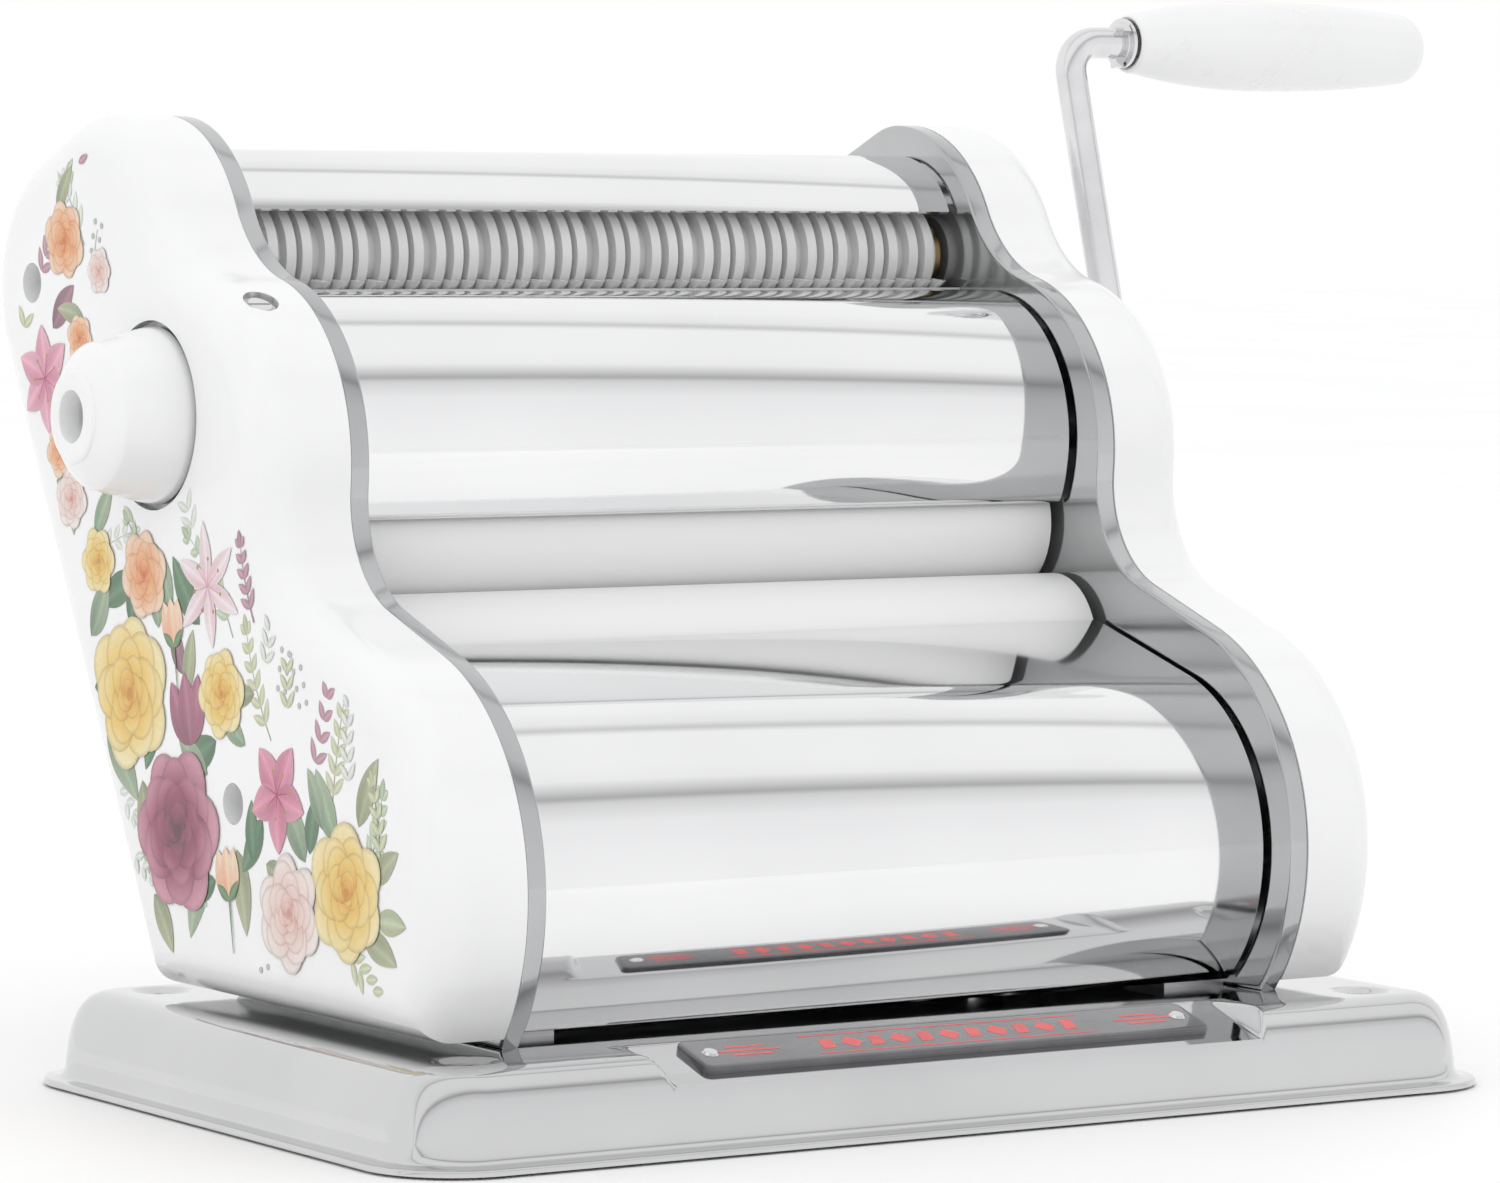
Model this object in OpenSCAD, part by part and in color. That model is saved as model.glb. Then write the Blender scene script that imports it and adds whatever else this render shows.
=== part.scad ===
// Hand-cranked pasta roller machine: two smooth rollers with an adjustable gap, a pair of
// ring cutters above them, an S-shaped body on a stamped tray, a gear train under the right
// cover and a nine-position thickness knob on the left.
// +X runs along the rollers towards the crank, +Y to the back, +Z up. The origin is the
// middle of the tray's underside.

/* [Body] */
// Distance between the inner faces of the side plates
plate_gap = 204; // [202:0.5:206]
// Thickness of each side plate
plate_t = 5; // [4.5:0.25:5]
// Depth of each side cover, outwards from its plate
cover_depth = 23; // [22.8:0.1:26]
// Wall thickness of the side covers
cover_wall = 2.3; // [2:0.1:2.4]
// Rounding of the side covers' outer edges
cover_round = 10; // [6:0.5:12]
// Thickness of the chromed sheet covers
sheet_t = 1; // [0.8:0.1:1.2]
// Gap between a sheet cover's end and the side plate
sheet_gap = 1.2; // [0.8:0.1:2]

/* [Tray] */
// Length of the tray over its rim
tray_l = 299; // [296:1:310]
// Depth of the tray over its rim
tray_w = 190; // [186:1:200]
// Height of the tray's top face
tray_h = 22; // [21:0.5:24]
// Rim width outside the tray's walls
rim_w = 5; // [4:0.5:6]
// Height of the tray's rim above the table
rim_z = 0.6; // [0.4:0.1:1]
// Radius of the rubber feet
foot_r = 10; // [8:0.5:11]
// Radius of the four table screw holes
table_hole_r = 2.75; // [2.5:0.05:3]

/* [Rollers] */
// Radius of the two smooth rollers
roller_r = 17.5; // [17:0.1:17.6]
// Length of the smooth rollers
roller_l = 200; // [196:1:200]
// Gap between the smooth rollers at the thinnest setting
gap_min = 0.3; // [0.3:0.05:0.4]
// Extra gap at the thickest setting
gap_travel = 3; // [2:0.1:3]
// Turn of the knob from the thinnest to the thickest setting, in degrees
knob_turn = 280; // [240:5:280]

/* [Cutters] */
// Radius of the cutters' rings
cutter_r = 13; // [12.8:0.1:13.2]
// Distance between the cutter axes
cutter_pitch = 24; // [23.9:0.05:24.1]
// Number of ring groups along a cutter, three rings each
ring_groups = 13; // [8:1:13]
// Width of one ring of the upper cutter
ring_w = 2.6; // [2:0.1:2.8]

/* [Crank] */
// Distance from the drive axis to the grip's axis
crank_len = 95; // [85:1:110]
// Lean of the crank towards the back, in degrees
crank_lean = 15.9; // [0:0.1:30]
// Radius of the crank's rod
rod_r = 4; // [3.5:0.1:4]
// Length of the grip
grip_l = 94; // [80:1:110]
// Greatest radius of the grip
grip_r = 11.8; // [10:0.1:13]

/* [Quality] */
// Degrees of turn per segment of the bent outlines
arc_step = 6; // [3:1:9]

/* [Hidden] */

$fn = 48;
eps = 0.02;          // overlap of tools that cut through a face
slip = 0.02;         // gap between pieces fixed to each other
run = 0.05;          // radial gap of a shaft in its bearing

// Points in the Y-Z plane are [y, z].
function unit(a) = [cos(a), sin(a)];
function reach(p, a, d) = p + d * unit(a);

function heading(p, q) = atan2(q[1] - p[1], q[0] - p[0]);
// Where circles of radius a about p and b about q cross, right of the way from p to q
function meet(p, q, a, b) = let (d = norm(q - p), e = (q - p) / d,
    s = (a * a - b * b + d * d) / (2 * d), h = sqrt(a * a - s * s))
    p + s * e + h * [e[1], -e[0]];
// Points of an arc about c from angle a0 to a1
function arc_points(c, r, a0, a1) = let (n = max(2, ceil(abs(a1 - a0) / arc_step)))
    [for (i = [0:n]) reach(c, a0 + (a1 - a0) * i / n, r)];

// Side outline: tangent arcs, three lobes joined by hollows, a chute and a leaning back
low_c = [-15.9, 55.5];
low_r = 54;
chute_a = 19;        // slope of the chute
hollow_r = 26;
mid_c = [52, 146.7];
mid_r = 43.3;
throat_r = 34;
top_c = [98.5, 187.3];
top_r = 39.3;
crown_a = 92;
crown_r = 24;
back_c = [112, 185.3];
back_r = 34.5;
lean_a = 28.2;       // lean of the back from upright
heel_r = 12;
chute_base = reach(low_c, 90 + chute_a, low_r + hollow_r);
chute_run = let (u = unit(chute_a), w = chute_base - mid_c, b = w * u)
    -b - sqrt(b * b - w * w + pow(mid_r + hollow_r, 2));
hollow_c = chute_base + chute_run * unit(chute_a);
throat_c = meet(top_c, mid_c, top_r + throat_r, mid_r + throat_r);
crown_c = reach(top_c, crown_a, top_r - crown_r);
crown_end = heading(crown_c, back_c)
    + acos((crown_r - back_r) / norm(back_c - crown_c));
back_t = reach(back_c, -lean_a, back_r);
heel_z = tray_h + heel_r;
heel_s = (back_t[1] + heel_r * sin(lean_a) - heel_z) / cos(lean_a);
heel_c = reach(back_t - heel_s * [sin(lean_a), cos(lean_a)], 180 - lean_a, heel_r);
function back_point(z, d) = [back_t[0] - (back_t[1] - z) * tan(lean_a) - d / cos(lean_a), z];
// Outline moved in by d, with its foot at height z + d
function outline(d, z) = let (foot = 180 - asin((z + d - low_c[1]) / (low_r - d)),
    heel_end = asin(max(-1, min(1, (z + d - heel_c[1]) / max(0.1, heel_r - d)))))
    concat(
        arc_points(low_c, low_r - d, foot, 90 + chute_a),
        arc_points(hollow_c, hollow_r + d, chute_a - 90, heading(hollow_c, mid_c)),
        arc_points(mid_c, mid_r - d, heading(mid_c, hollow_c) + 360,
            heading(mid_c, throat_c)),
        arc_points(throat_c, throat_r + d, heading(throat_c, mid_c),
            heading(throat_c, top_c)),
        arc_points(top_c, top_r - d, heading(top_c, throat_c), crown_a),
        arc_points(crown_c, crown_r - d, crown_a, crown_end),
        arc_points(back_c, back_r - d, crown_end, -lean_a),
        heel_end < -lean_a - 2 ? arc_points(heel_c, heel_r - d, -lean_a, heel_end)
            : [back_point(z + d, d)]);

// Axes of the shafts
nip_a = 56.5;        // tilt of the line through the roller axes
lower_c = [23.5, 99];
roller_pitch = 2 * roller_r + gap_min;
upper_c = reach(lower_c, nip_a, roller_pitch);
knob_d = 34.3;       // from the upper roller to the cam axis at the thinnest setting
knob_c = reach(upper_c, nip_a, knob_d);

// Gears: module, teeth and face positions along the shafts
gear_m = 1.5;
nip_m = 1.75;
teeth_cut = 43;
teeth_pinion = 16;
teeth_drive = 20;
teeth_idler = 36;
teeth_lower = 28;
teeth_nip = 20;
gear_w = 4.5;
backlash = 0.28;
cutter_a = 56.2;     // direction from the drive axis to the upper cutter
cutter_c = reach(knob_c, cutter_a, gear_m * (teeth_cut + teeth_pinion) / 2);
cutter_down = -100;  // direction from the upper cutter to the lower one
cutter2_c = reach(cutter_c, cutter_down, cutter_pitch);
idler_c = meet(lower_c, knob_c, gear_m * (teeth_lower + teeth_idler) / 2,
    gear_m * (teeth_drive + teeth_idler) / 2);
// Turn of a gear that puts it in mesh with another at turn off_a in direction dir
function mesh_turn(dir, off_a, teeth_a, teeth_b) =
    dir + 180 - 360 / teeth_b * (0.5 - (dir - off_a) * teeth_a / 360);
turn_cut = 0;
turn_pinion = mesh_turn(heading(knob_c, cutter_c), turn_cut, teeth_cut, teeth_pinion);
turn_pinion2 = mesh_turn(cutter_down, turn_pinion, teeth_pinion, teeth_pinion);
turn_drive = 0;
turn_idler = mesh_turn(heading(knob_c, idler_c), turn_drive, teeth_drive, teeth_idler);
turn_lower = mesh_turn(heading(idler_c, lower_c), turn_idler, teeth_idler, teeth_lower);
turn_nip = 0;
turn_nip2 = mesh_turn(nip_a, turn_nip, teeth_nip, teeth_nip);

// Stations along X
plate_in = plate_gap / 2;
plate_out = plate_in + plate_t;
cover_out = plate_out + cover_depth;
sheet_x = plate_in - sheet_gap;
cam_x = plate_out + 0.4;
cam_w = 3.3;
bay_a = cam_x + cam_w + 0.6;
bay_b = bay_a + gear_w + 0.5;
bay_c = bay_b + gear_w + 0.5;

shaft_r = 6;
cutter_shaft_r = 5;
cam_shaft_r = 5;
spindle_r = 4;
hub_r = 8;
bush_t = 3;
block_w = 19.8;
block_gap = 0.1;
cam_high = 14;
cam_gap = 0.3;
cam_step = 5;

// Cutter rings: left edges of the three rings in one group, and the gaps after them
ring_span = 198;
group_w = ring_span / ring_groups;
ring_at = [0, 0.4 * group_w, 0.72 * group_w];
ring_next = [ring_at[1], ring_at[2], group_w];
ring_gap = 0.35;
core_r = cutter_r - 3.2;

// Covers' arcs
top_arc_c = [94.1, 193.9];
top_arc_r = 24.9;
back_arc_r = 24.6;
mid_arc_c = [55.4, 149.5];
mid_arc_r = 36.1;
low_arc_c = [-18.3, 54.5];
low_arc_r = 42.4;

knob_r = 21;
recess_d = 3;
recess_r = knob_r + 1;
pin_r0 = 14;
pin_r = 1.4;
cover_screws_left = [[123.2, 186.6], [21.9, 70.2]];
cover_screws_right = [[123.2, 186.6], [6, 58]];
tie_at = [[113, 150], [-20, 50], [48, 40], [84, 122]];
bracket_y = [-36, 36];
table_x = 123;
table_y = 70;
grip_x = 167;
arm_x = 148;
grip_c = reach(knob_c, 90 - crank_lean, crank_len);

// ---------- helpers ----------

// Extrudes a Y-Z shape from x0 to x1
module along_x(x0, x1) {
    translate([x0, 0, 0]) rotate([90, 0, 90]) linear_extrude(x1 - x0) children();
}

// Round bar along X through the point p
module bar_x(p, r, x0, x1) {
    translate([x0, p[0], p[1]]) rotate([0, 90, 0]) cylinder(r = r, h = x1 - x0);
}

// Ring along X
module ring_x(p, r_out, r_in, x0, x1) {
    difference() {
        bar_x(p, r_out, x0, x1);
        bar_x(p, r_in, x0 - 1, x1 + 1);
    }
}

// Turns a profile of [radius, x] points about the X-parallel axis through p
module turned(p, points) {
    translate([0, p[0], p[1]]) rotate([0, 90, 0]) rotate_extrude($fn = 64) polygon(points);
}

// Places its child at p in the Y-Z plane, turned by a about the X direction
module at_yz(p, a) {
    translate([0, p[0], p[1]]) rotate([a, 0, 0]) children();
}

// Involute spur gear, one tooth centred on the given turn from +Y
function inv_a(rb, r) = let (f = acos(min(1, rb / r))) tan(f) * 180 / PI - f;
module gear_2d(teeth, m, turn, add = 0.95, ded = 1.25) {
    rp = teeth * m / 2;
    rb = rp * cos(20);
    rr = rp - ded * m;
    tip = rp + add * m;
    r0 = max(rb, rr) + 0.02;
    half = (PI * m / 2 - backlash) / 2 / rp * 180 / PI + inv_a(rb, rp);
    radii = [for (i = [0:3]) r0 + (tip - r0) * i / 3];
    polygon([for (i = [0:teeth - 1]) let (a = turn + i * 360 / teeth)
        each concat([rr * unit(a - half + inv_a(rb, r0))],
            [for (r = radii) r * unit(a - half + inv_a(rb, r))],
            [for (k = [3:-1:0]) radii[k] * unit(a + half - inv_a(rb, radii[k]))],
            [rr * unit(a + half - inv_a(rb, r0))])]);
}
module gear(p, teeth, m, turn, x0, x1, bore, add = 0.95) {
    difference() {
        along_x(x0, x1) translate(p) gear_2d(teeth, m, turn, add);
        bar_x(p, bore, x0 - 1, x1 + 1);
    }
}

// ---------- base ----------

module tray_slab(inset, r, z, h = 0.01) {
    translate([0, 0, z]) linear_extrude(h)
        offset(r = r, $fn = 32) square([tray_l - 2 * (inset + r), tray_w - 2 * (inset + r)],
            center = true);
}
badge_slope = 17;
pocket_l = 168;
pocket_back = -66;
badge_l = 138;
badge_w = 15;
module badge_place() {
    translate([0, pocket_back, tray_h]) rotate([badge_slope, 0, 0]) children();
}
module table_holes(z0, z1) {
    for (x = [-table_x, table_x], y = [-table_y, table_y])
        translate([x, y, z0]) cylinder(r = table_hole_r, h = z1 - z0);
}
module base_tray() {
    color("silver") difference() {
        union() {
            tray_slab(0, 22, rim_z, 1.3);
            hull() { tray_slab(rim_w, 18, rim_z); tray_slab(rim_w + 2.5, 16, tray_h - 6); }
            hull() {
                tray_slab(rim_w + 2.5, 16, tray_h - 6);
                tray_slab(rim_w + 4.3, 15, tray_h - 1.8);
                tray_slab(rim_w + 8.5, 12, tray_h - 0.01);
            }
        }
        hull() {
            tray_slab(rim_w + 1.4, 17, rim_z - eps);
            tray_slab(rim_w + 4, 15, tray_h - 6);
        }
        hull() {
            tray_slab(rim_w + 4, 15, tray_h - 6.02);
            tray_slab(rim_w + 9, 12, tray_h - 1.4);
        }
        badge_place() translate([-pocket_l / 2, -60, 0]) cube([pocket_l, 60, 30]);
        table_holes(0, tray_h + 1);
        for (x = [-table_x, table_x], y = [-table_y, table_y])
            translate([x, y, tray_h - 1]) cylinder(r1 = 3.2, r2 = 6.5, h = 1.01);
        for (x = [-1, 1], y = bracket_y) bracket_hole(x, y, tray_h - 5, tray_h + 5, 2.1);
    }
    color("silver") intersection() {
        badge_place() translate([-pocket_l / 2, -24, -1.4]) cube([pocket_l, 30, 1.4]);
        hull() {
            tray_slab(rim_w + 2, 16, rim_z);
            tray_slab(rim_w + 2.5, 16, tray_h - 6);
            tray_slab(rim_w + 8.5, 12, tray_h - 0.01);
        }
    }
}
module base_feet() {
    color([0.15, 0.15, 0.15]) difference() {
        for (x = [-table_x, table_x], y = [-table_y, table_y])
            translate([x, y, 0]) cylinder(r = foot_r, h = tray_h - 1.4);
        table_holes(-1, tray_h);
    }
}
module badge() {
    color([0.35, 0.36, 0.38]) badge_place() translate([0, -10.5, 0]) difference() {
        hull() for (x = [-1, 1], y = [-1, 1])
            translate([x * (badge_l / 2 - 2.5), y * (badge_w / 2 - 2.5), 0.02])
                cylinder(r = 2.5, h = 1.6, $fn = 24);
        for (x = [-1, 1]) translate([x * (badge_l / 2 - 5), 0, -1])
            cylinder(r = 1.25, h = 4);
    }
}
module badge_rivets() {
    color("silver") badge_place() for (x = [-1, 1])
        translate([x * (badge_l / 2 - 5), -10.5, 0.02]) {
            cylinder(r = 1.2, h = 1.7);
            translate([0, 0, 1.62]) cylinder(r1 = 2, r2 = 1.5, h = 0.5);
        }
}

// ---------- frame ----------

module bracket_hole(side, y, z0, z1, r) {
    translate([side * (plate_in - 9), y, z0]) cylinder(r = r, h = z1 - z0);
}
module side_plate(side, screws) {
    color("lightgray") difference() {
        along_x(side > 0 ? plate_in : -plate_out, side > 0 ? plate_out : -plate_in)
            polygon(outline(0, tray_h));
        plate_bores(screws);
    }
}
module plate_bores(screws) {
    x = plate_out + 1;
    bar_x(knob_c, cam_shaft_r + bush_t, -x, x);
    bar_x(lower_c, shaft_r + bush_t, -x, x);
    bar_x(cutter_c, cutter_shaft_r + bush_t, -x, x);
    bar_x(cutter2_c, cutter_shaft_r + bush_t, -x, x);
    for (p = tie_at) bar_x(p, 3, -x, x);
    for (p = screws) bar_x(p, 2, -x, x);
    for (y = bracket_y) bar_x([y, tray_h + 8], 2.1, -x, x);
    at_yz(upper_c, nip_a) translate([-x, -block_w / 2 - block_gap, -block_w / 2 - block_gap])
        cube([2 * x, block_w + 2 * block_gap + gap_travel, block_w + 2 * block_gap]);
}
module left_side_plate() { side_plate(-1, cover_screws_left); }
module right_side_plate() {
    difference() {
        side_plate(1, cover_screws_right);
        color("lightgray") bar_x(idler_c, 3, plate_in - 1, plate_out + 1);
    }
}
module plate_brackets() {
    color("gray") for (s = [-1, 1], y = bracket_y) difference() {
        union() {
            translate([s * (plate_in - 9) - 8.5, y - 8, tray_h]) cube([17, 16, 2]);
            translate([s > 0 ? plate_in - 2 : -plate_in, y - 8, tray_h]) cube([2, 16, 15]);
        }
        bracket_hole(s, y, tray_h - 1, tray_h + 3, 2.1);
        bar_x([y, tray_h + 8], 2.1, -plate_out, plate_out);
    }
}
module bracket_screws() {
    color("dimgray") for (s = [-1, 1], y = bracket_y) {
        bracket_hole(s, y, tray_h - 4, tray_h + 2, 2.05);
        translate([s * (plate_in - 9), y, tray_h + 2]) cylinder(r = 3.6, h = 2.4);
        bar_x([y, tray_h + 8], 2.05, s > 0 ? plate_in - 2 : -plate_out + 1,
            s > 0 ? plate_out - 1 : -plate_in + 2);
        bar_x([y, tray_h + 8], 3.6, s > 0 ? plate_in - 4.4 : -plate_in + 2,
            s > 0 ? plate_in - 2 : -plate_in + 4.4);
    }
}
module tie_rods() {
    color("silver") for (p = tie_at) {
        bar_x(p, 4.5, -plate_in, plate_in);
        bar_x(p, 2.98, -plate_out - 4, plate_out + 4);
    }
}
module tie_rod_nuts() {
    color("gray") for (p = tie_at, s = [-1, 1]) difference() {
        bar_x(p, 5.6, s > 0 ? plate_out : -plate_out - 4, s > 0 ? plate_out + 4 : -plate_out,
            $fn = 6);
        bar_x(p, 3, -plate_out - 5, plate_out + 5);
    }
}

// ---------- side covers ----------

cover_z = tray_h + 2.4;
module cover_outline(inset) {
    polygon(outline(inset, cover_z));
}
// The rounded outer edge is a stack of slabs; the first ones are hollow
round_n = 6;
hollow_n = 3;
function round_x(i) = cover_out - cover_round * (1 - sin(90 * i / round_n));
function round_inset(i) = cover_round * (1 - cos(90 * (i - 0.5) / round_n));
module cover_ring(x0, x1, outer, inner) {
    along_x(x0, x1) difference() {
        cover_outline(outer);
        cover_outline(inner);
    }
}
module cover_shell(screws) {
    difference() {
        union() {
            cover_ring(plate_out, round_x(0), 0, cover_wall);
            for (i = [1:hollow_n])
                cover_ring(round_x(i - 1) - eps, round_x(i), round_inset(i), round_inset(i + 1) + 1.5);
            for (i = [hollow_n + 1:round_n])
                along_x(round_x(i - 1) - eps, round_x(i)) cover_outline(round_inset(i));
            for (p = screws) bar_x(p, 6.6, plate_out, cover_out - cover_wall / 2);
        }
        for (p = screws) {
            bar_x(p, 2.2, plate_out - 1, cover_out + 1);
            bar_x(p, 4.8, cover_out - 9, cover_out + 1);
        }
    }
}
plug_x = -plate_out - 11.5;
plug_a = 120;
module plug_place() {
    p = reach(mid_c, plug_a, mid_r - 2.2);
    translate([plug_x, p[0], p[1]]) rotate([plug_a - 90, 0, 0]) children();
}
module left_cover() {
    color("white") difference() {
        union() {
            mirror([1, 0, 0]) cover_shell(cover_screws_left);
            plug_place() translate([0, 0, -5]) cylinder(r = 6, h = 6);
            bar_x(knob_c, recess_r + 2, -cover_out + 0.5, -cover_out + recess_d + 2);
        }
        bar_x(knob_c, recess_r, -cover_out - 1, -cover_out + recess_d);
        bar_x(knob_c, cam_shaft_r + 1, -cover_out - 1, -plate_out);
        plug_place() {
            cylinder(r = 4.2, h = 8);
            translate([0, 0, -9]) cylinder(r = 1.55, h = 10);
        }
    }
}
module right_cover() {
    color("white") difference() {
        cover_shell(cover_screws_right);
        bar_x(knob_c, hub_r + 1, cover_out - 6, cover_out + 1);
    }
}
module cover_screws() {
    color("silver") for (s = [-1, 1], p = s < 0 ? cover_screws_left : cover_screws_right)
        mirror([s < 0 ? 1 : 0, 0, 0]) difference() {
            union() {
                bar_x(p, 1.95, plate_out - 4, cover_out - 9);
                bar_x(p, 4.3, cover_out - 9, cover_out - 6.6);
            }
            at_yz(p, 30) translate([cover_out - 7.8, -3, -0.45]) cube([2, 6, 0.9]);
            at_yz(p, 30) translate([cover_out - 7.8, -0.45, -3]) cube([2, 0.9, 6]);
        }
}
module oil_plug() {
    color("silver") plug_place() difference() {
        union() {
            translate([0, 0, -4.5]) cylinder(r = 1.5, h = 4.6);
            translate([0, 0, 0.02]) cylinder(r = 2.8, h = 1.2);
        }
        translate([-3, -0.4, 0.7]) cube([6, 0.8, 1]);
    }
}

// ---------- sheet covers ----------

// Sheet bent along the outer points; inner holds the points of its other face, same order
module sheet(outer, inner) {
    along_x(-sheet_x, sheet_x)
        polygon(concat(outer, [for (i = [len(inner) - 1:-1:0]) inner[i]]));
}
back_arc_a0 = 70;
back_arc_c = reach(reach(top_arc_c, back_arc_a0 - 90, 19.6), back_arc_a0,
    top_arc_r - back_arc_r);
function top_line(d) = concat(arc_points(top_arc_c, top_arc_r - d, 154, back_arc_a0),
    arc_points(back_arc_c, back_arc_r - d, back_arc_a0, -4));
module top_cover() {
    color("gainsboro") sheet(top_line(0), top_line(sheet_t));
}
hem_a = 203.3;
hem_r = 2.5;
hem_c = reach(mid_arc_c, hem_a, mid_arc_r - hem_r);
function mid_line(d) = concat(arc_points(mid_arc_c, mid_arc_r - d, 76.6, hem_a),
    arc_points(hem_c, hem_r - d, hem_a + 10, 270));
module mid_cover() {
    color("gainsboro") sheet(mid_line(0), mid_line(sheet_t));
}
low_a = 90 + 16.3;
function low_line(d) = concat(
    [reach(reach(low_arc_c, low_a, low_arc_r - d), 16.3, 38.2)],
    arc_points(low_arc_c, low_arc_r - d, low_a, 226.5));
module lower_cover() {
    color("gainsboro") sheet(low_line(0), low_line(sheet_t));
}
back_inset = 9;
function back_q(z, d) = back_point(z, back_inset + d);
module rear_mid_cover() {
    color("gainsboro") sheet([[98, 176], back_q(168.5, 0), back_q(107, 0), [67, 110]],
        [[97.6, 175], back_q(168.5 - sheet_t * 0.6, sheet_t),
            back_q(107 + sheet_t, sheet_t), [67, 110 + sheet_t]]);
}
module rear_lower_cover() {
    color("gainsboro") sheet([[44.5, 95], back_q(78, 0), back_q(tray_h + 1, 0)],
        [[44, 94.1], back_q(78 - sheet_t * 0.6, sheet_t), back_q(tray_h + 1, sheet_t)]);
}

// ---------- combs and scraper ----------

// Each comb is a bar between the plates with fingers that reach between a cutter's rings
function group_x(g) = -ring_span / 2 + g * group_w;
module comb_bar(p) {
    translate([-plate_in + 0.1, p[0], p[1]]) cube([2 * plate_in - 0.2, 5, 3.4]);
}
module upper_comb() {
    color("whitesmoke") {
        comb_bar([68.4, 182.4]);
        for (g = [0:ring_groups - 1], k = [0:2]) {
            x0 = group_x(g) + ring_at[k] + ring_w + ring_gap;
            x1 = group_x(g) + ring_next[k] - ring_gap;
            along_x(x0, x1) polygon([[73.3, 182.5], [73.3, 185.7], [70, 187.6],
                reach(cutter_c, 211, core_r + 1.2), reach(cutter_c, 222, core_r + 1.2)]);
        }
    }
}
module lower_comb() {
    color("whitesmoke") {
        comb_bar([61.8, 172.2]);
        for (g = [0:ring_groups - 1], k = [0:2]) {
            x0 = group_x(g) + ring_at[k] - ring_gap;
            along_x(x0 + 2 * ring_gap, x0 + ring_w)
                polygon([[66.7, 172.3], [66.7, 175.5], reach(cutter2_c, 152, core_r + 1.2),
                    reach(cutter2_c, 166, core_r + 1.2)]);
        }
    }
}
module roller_scraper() {
    p = reach(upper_c, 20, roller_r + gap_travel + 0.6);
    color("silver") {
        along_x(-sheet_x, sheet_x) polygon([p + [0, -4], p + [14, 8], p + [22, 8],
            p + [22, 7], p + [14.4, 7], p + [0.7, -4.7]]);
        along_x(-plate_in + 0.05, plate_in - 0.05) translate(p + [16, 1]) square([6, 6.5]);
    }
}

// ---------- bushes and index plate ----------

module bush(p, r, side) {
    x0 = side > 0 ? plate_in - 0.8 : -plate_out - 0.3;
    ring_x(p, r + bush_t - slip, r + run, x0, x0 + plate_t + 1.1);
}
module camshaft_bushes() {
    color("goldenrod") for (s = [-1, 1]) bush(knob_c, cam_shaft_r, s);
}
module roller_bushes() {
    color("goldenrod") for (s = [-1, 1]) bush(lower_c, shaft_r, s);
}
module cutter_bushes() {
    color("goldenrod") for (s = [-1, 1], p = [cutter_c, cutter2_c])
        bush(p, cutter_shaft_r, s);
}
pin_a = 90;
module arc_slot_2d(r0, w, a0, a1) {
    polygon(concat([for (i = [0:24]) (r0 + w) * unit(a0 + (a1 - a0) * i / 24)],
        [for (i = [24:-1:0]) (r0 - w) * unit(a0 + (a1 - a0) * i / 24)]));
}
module index_plate() {
    color("silver") difference() {
        ring_x(knob_c, recess_r - 1.5, cam_shaft_r + 2, -cover_out + recess_d - 1.2,
            -cover_out + recess_d);
        along_x(-cover_out, -cover_out + recess_d + 1) translate(knob_c)
            arc_slot_2d(pin_r0, pin_r + 0.3, pin_a - 8, pin_a + knob_turn + 8);
    }
}

// ---------- smooth rollers ----------

module lower_roller() {
    color("white") ring_x(lower_c, roller_r, shaft_r + slip, -roller_l / 2, roller_l / 2,
        $fn = 96);
}
module lower_roller_shaft() {
    color("gray") bar_x(lower_c, shaft_r, -plate_out - 3, bay_c + gear_w + 0.4);
}
module lower_nip_gear() {
    color("darkgray") gear(lower_c, teeth_nip, nip_m, turn_nip, bay_a, bay_a + gear_w,
        shaft_r + slip, 1.15);
}
module lower_drive_gear() {
    color("darkgray") gear(lower_c, teeth_lower, gear_m, turn_lower, bay_c, bay_c + gear_w,
        shaft_r + slip);
}
module upper_roller() {
    color("white") ring_x(upper_c, roller_r, shaft_r + slip, -roller_l / 2, roller_l / 2,
        $fn = 96);
}
module upper_roller_shaft() {
    color("gray") bar_x(upper_c, shaft_r, -plate_out - 4, bay_a + gear_w + 0.3);
}
module upper_nip_gear() {
    color("darkgray") gear(upper_c, teeth_nip, nip_m, turn_nip2, bay_a, bay_a + gear_w,
        shaft_r + slip, 1.15);
}

// ---------- bearing blocks and cams ----------

module bearing_block() {
    difference() {
        at_yz(upper_c, nip_a) {
            translate([plate_in + 0.2, -block_w / 2, -block_w / 2])
                cube([plate_t + 0.3, block_w, block_w]);
            translate([plate_out + 0.4, -11, -12]) cube([cam_w, 22, 24]);
            translate([plate_out + 0.4, 10, -4])
                cube([cam_w, knob_d - cam_high - cam_gap - 10, 8]);
        }
        bar_x(upper_c, shaft_r + run, plate_in - 1, plate_out + 8);
    }
}
module left_bearing_block() {
    color("burlywood") mirror([1, 0, 0]) bearing_block();
}
module right_bearing_block() {
    color("burlywood") bearing_block();
}
module cam(side) {
    a0 = nip_a + 180;
    x0 = side > 0 ? cam_x : -cam_x - cam_w;
    difference() {
        along_x(x0, x0 + cam_w) translate(knob_c) polygon(concat(
            [for (t = [0:cam_step:knob_turn]) (cam_high - gap_travel * t / knob_turn)
                * unit(a0 - t)],
            [for (t = [knob_turn + cam_step:cam_step:360 - cam_step])
                (cam_high - gap_travel * (360 - t) / (360 - knob_turn)) * unit(a0 - t)]));
        bar_x(knob_c, cam_shaft_r + slip, x0 - 1, x0 + cam_w + 1);
    }
}
module left_cam() { color("slategray") cam(-1); }
module right_cam() { color("slategray") cam(1); }
knob_back = -cover_out + recess_d - 1.7;
shaft_end = knob_back - 9;
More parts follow.
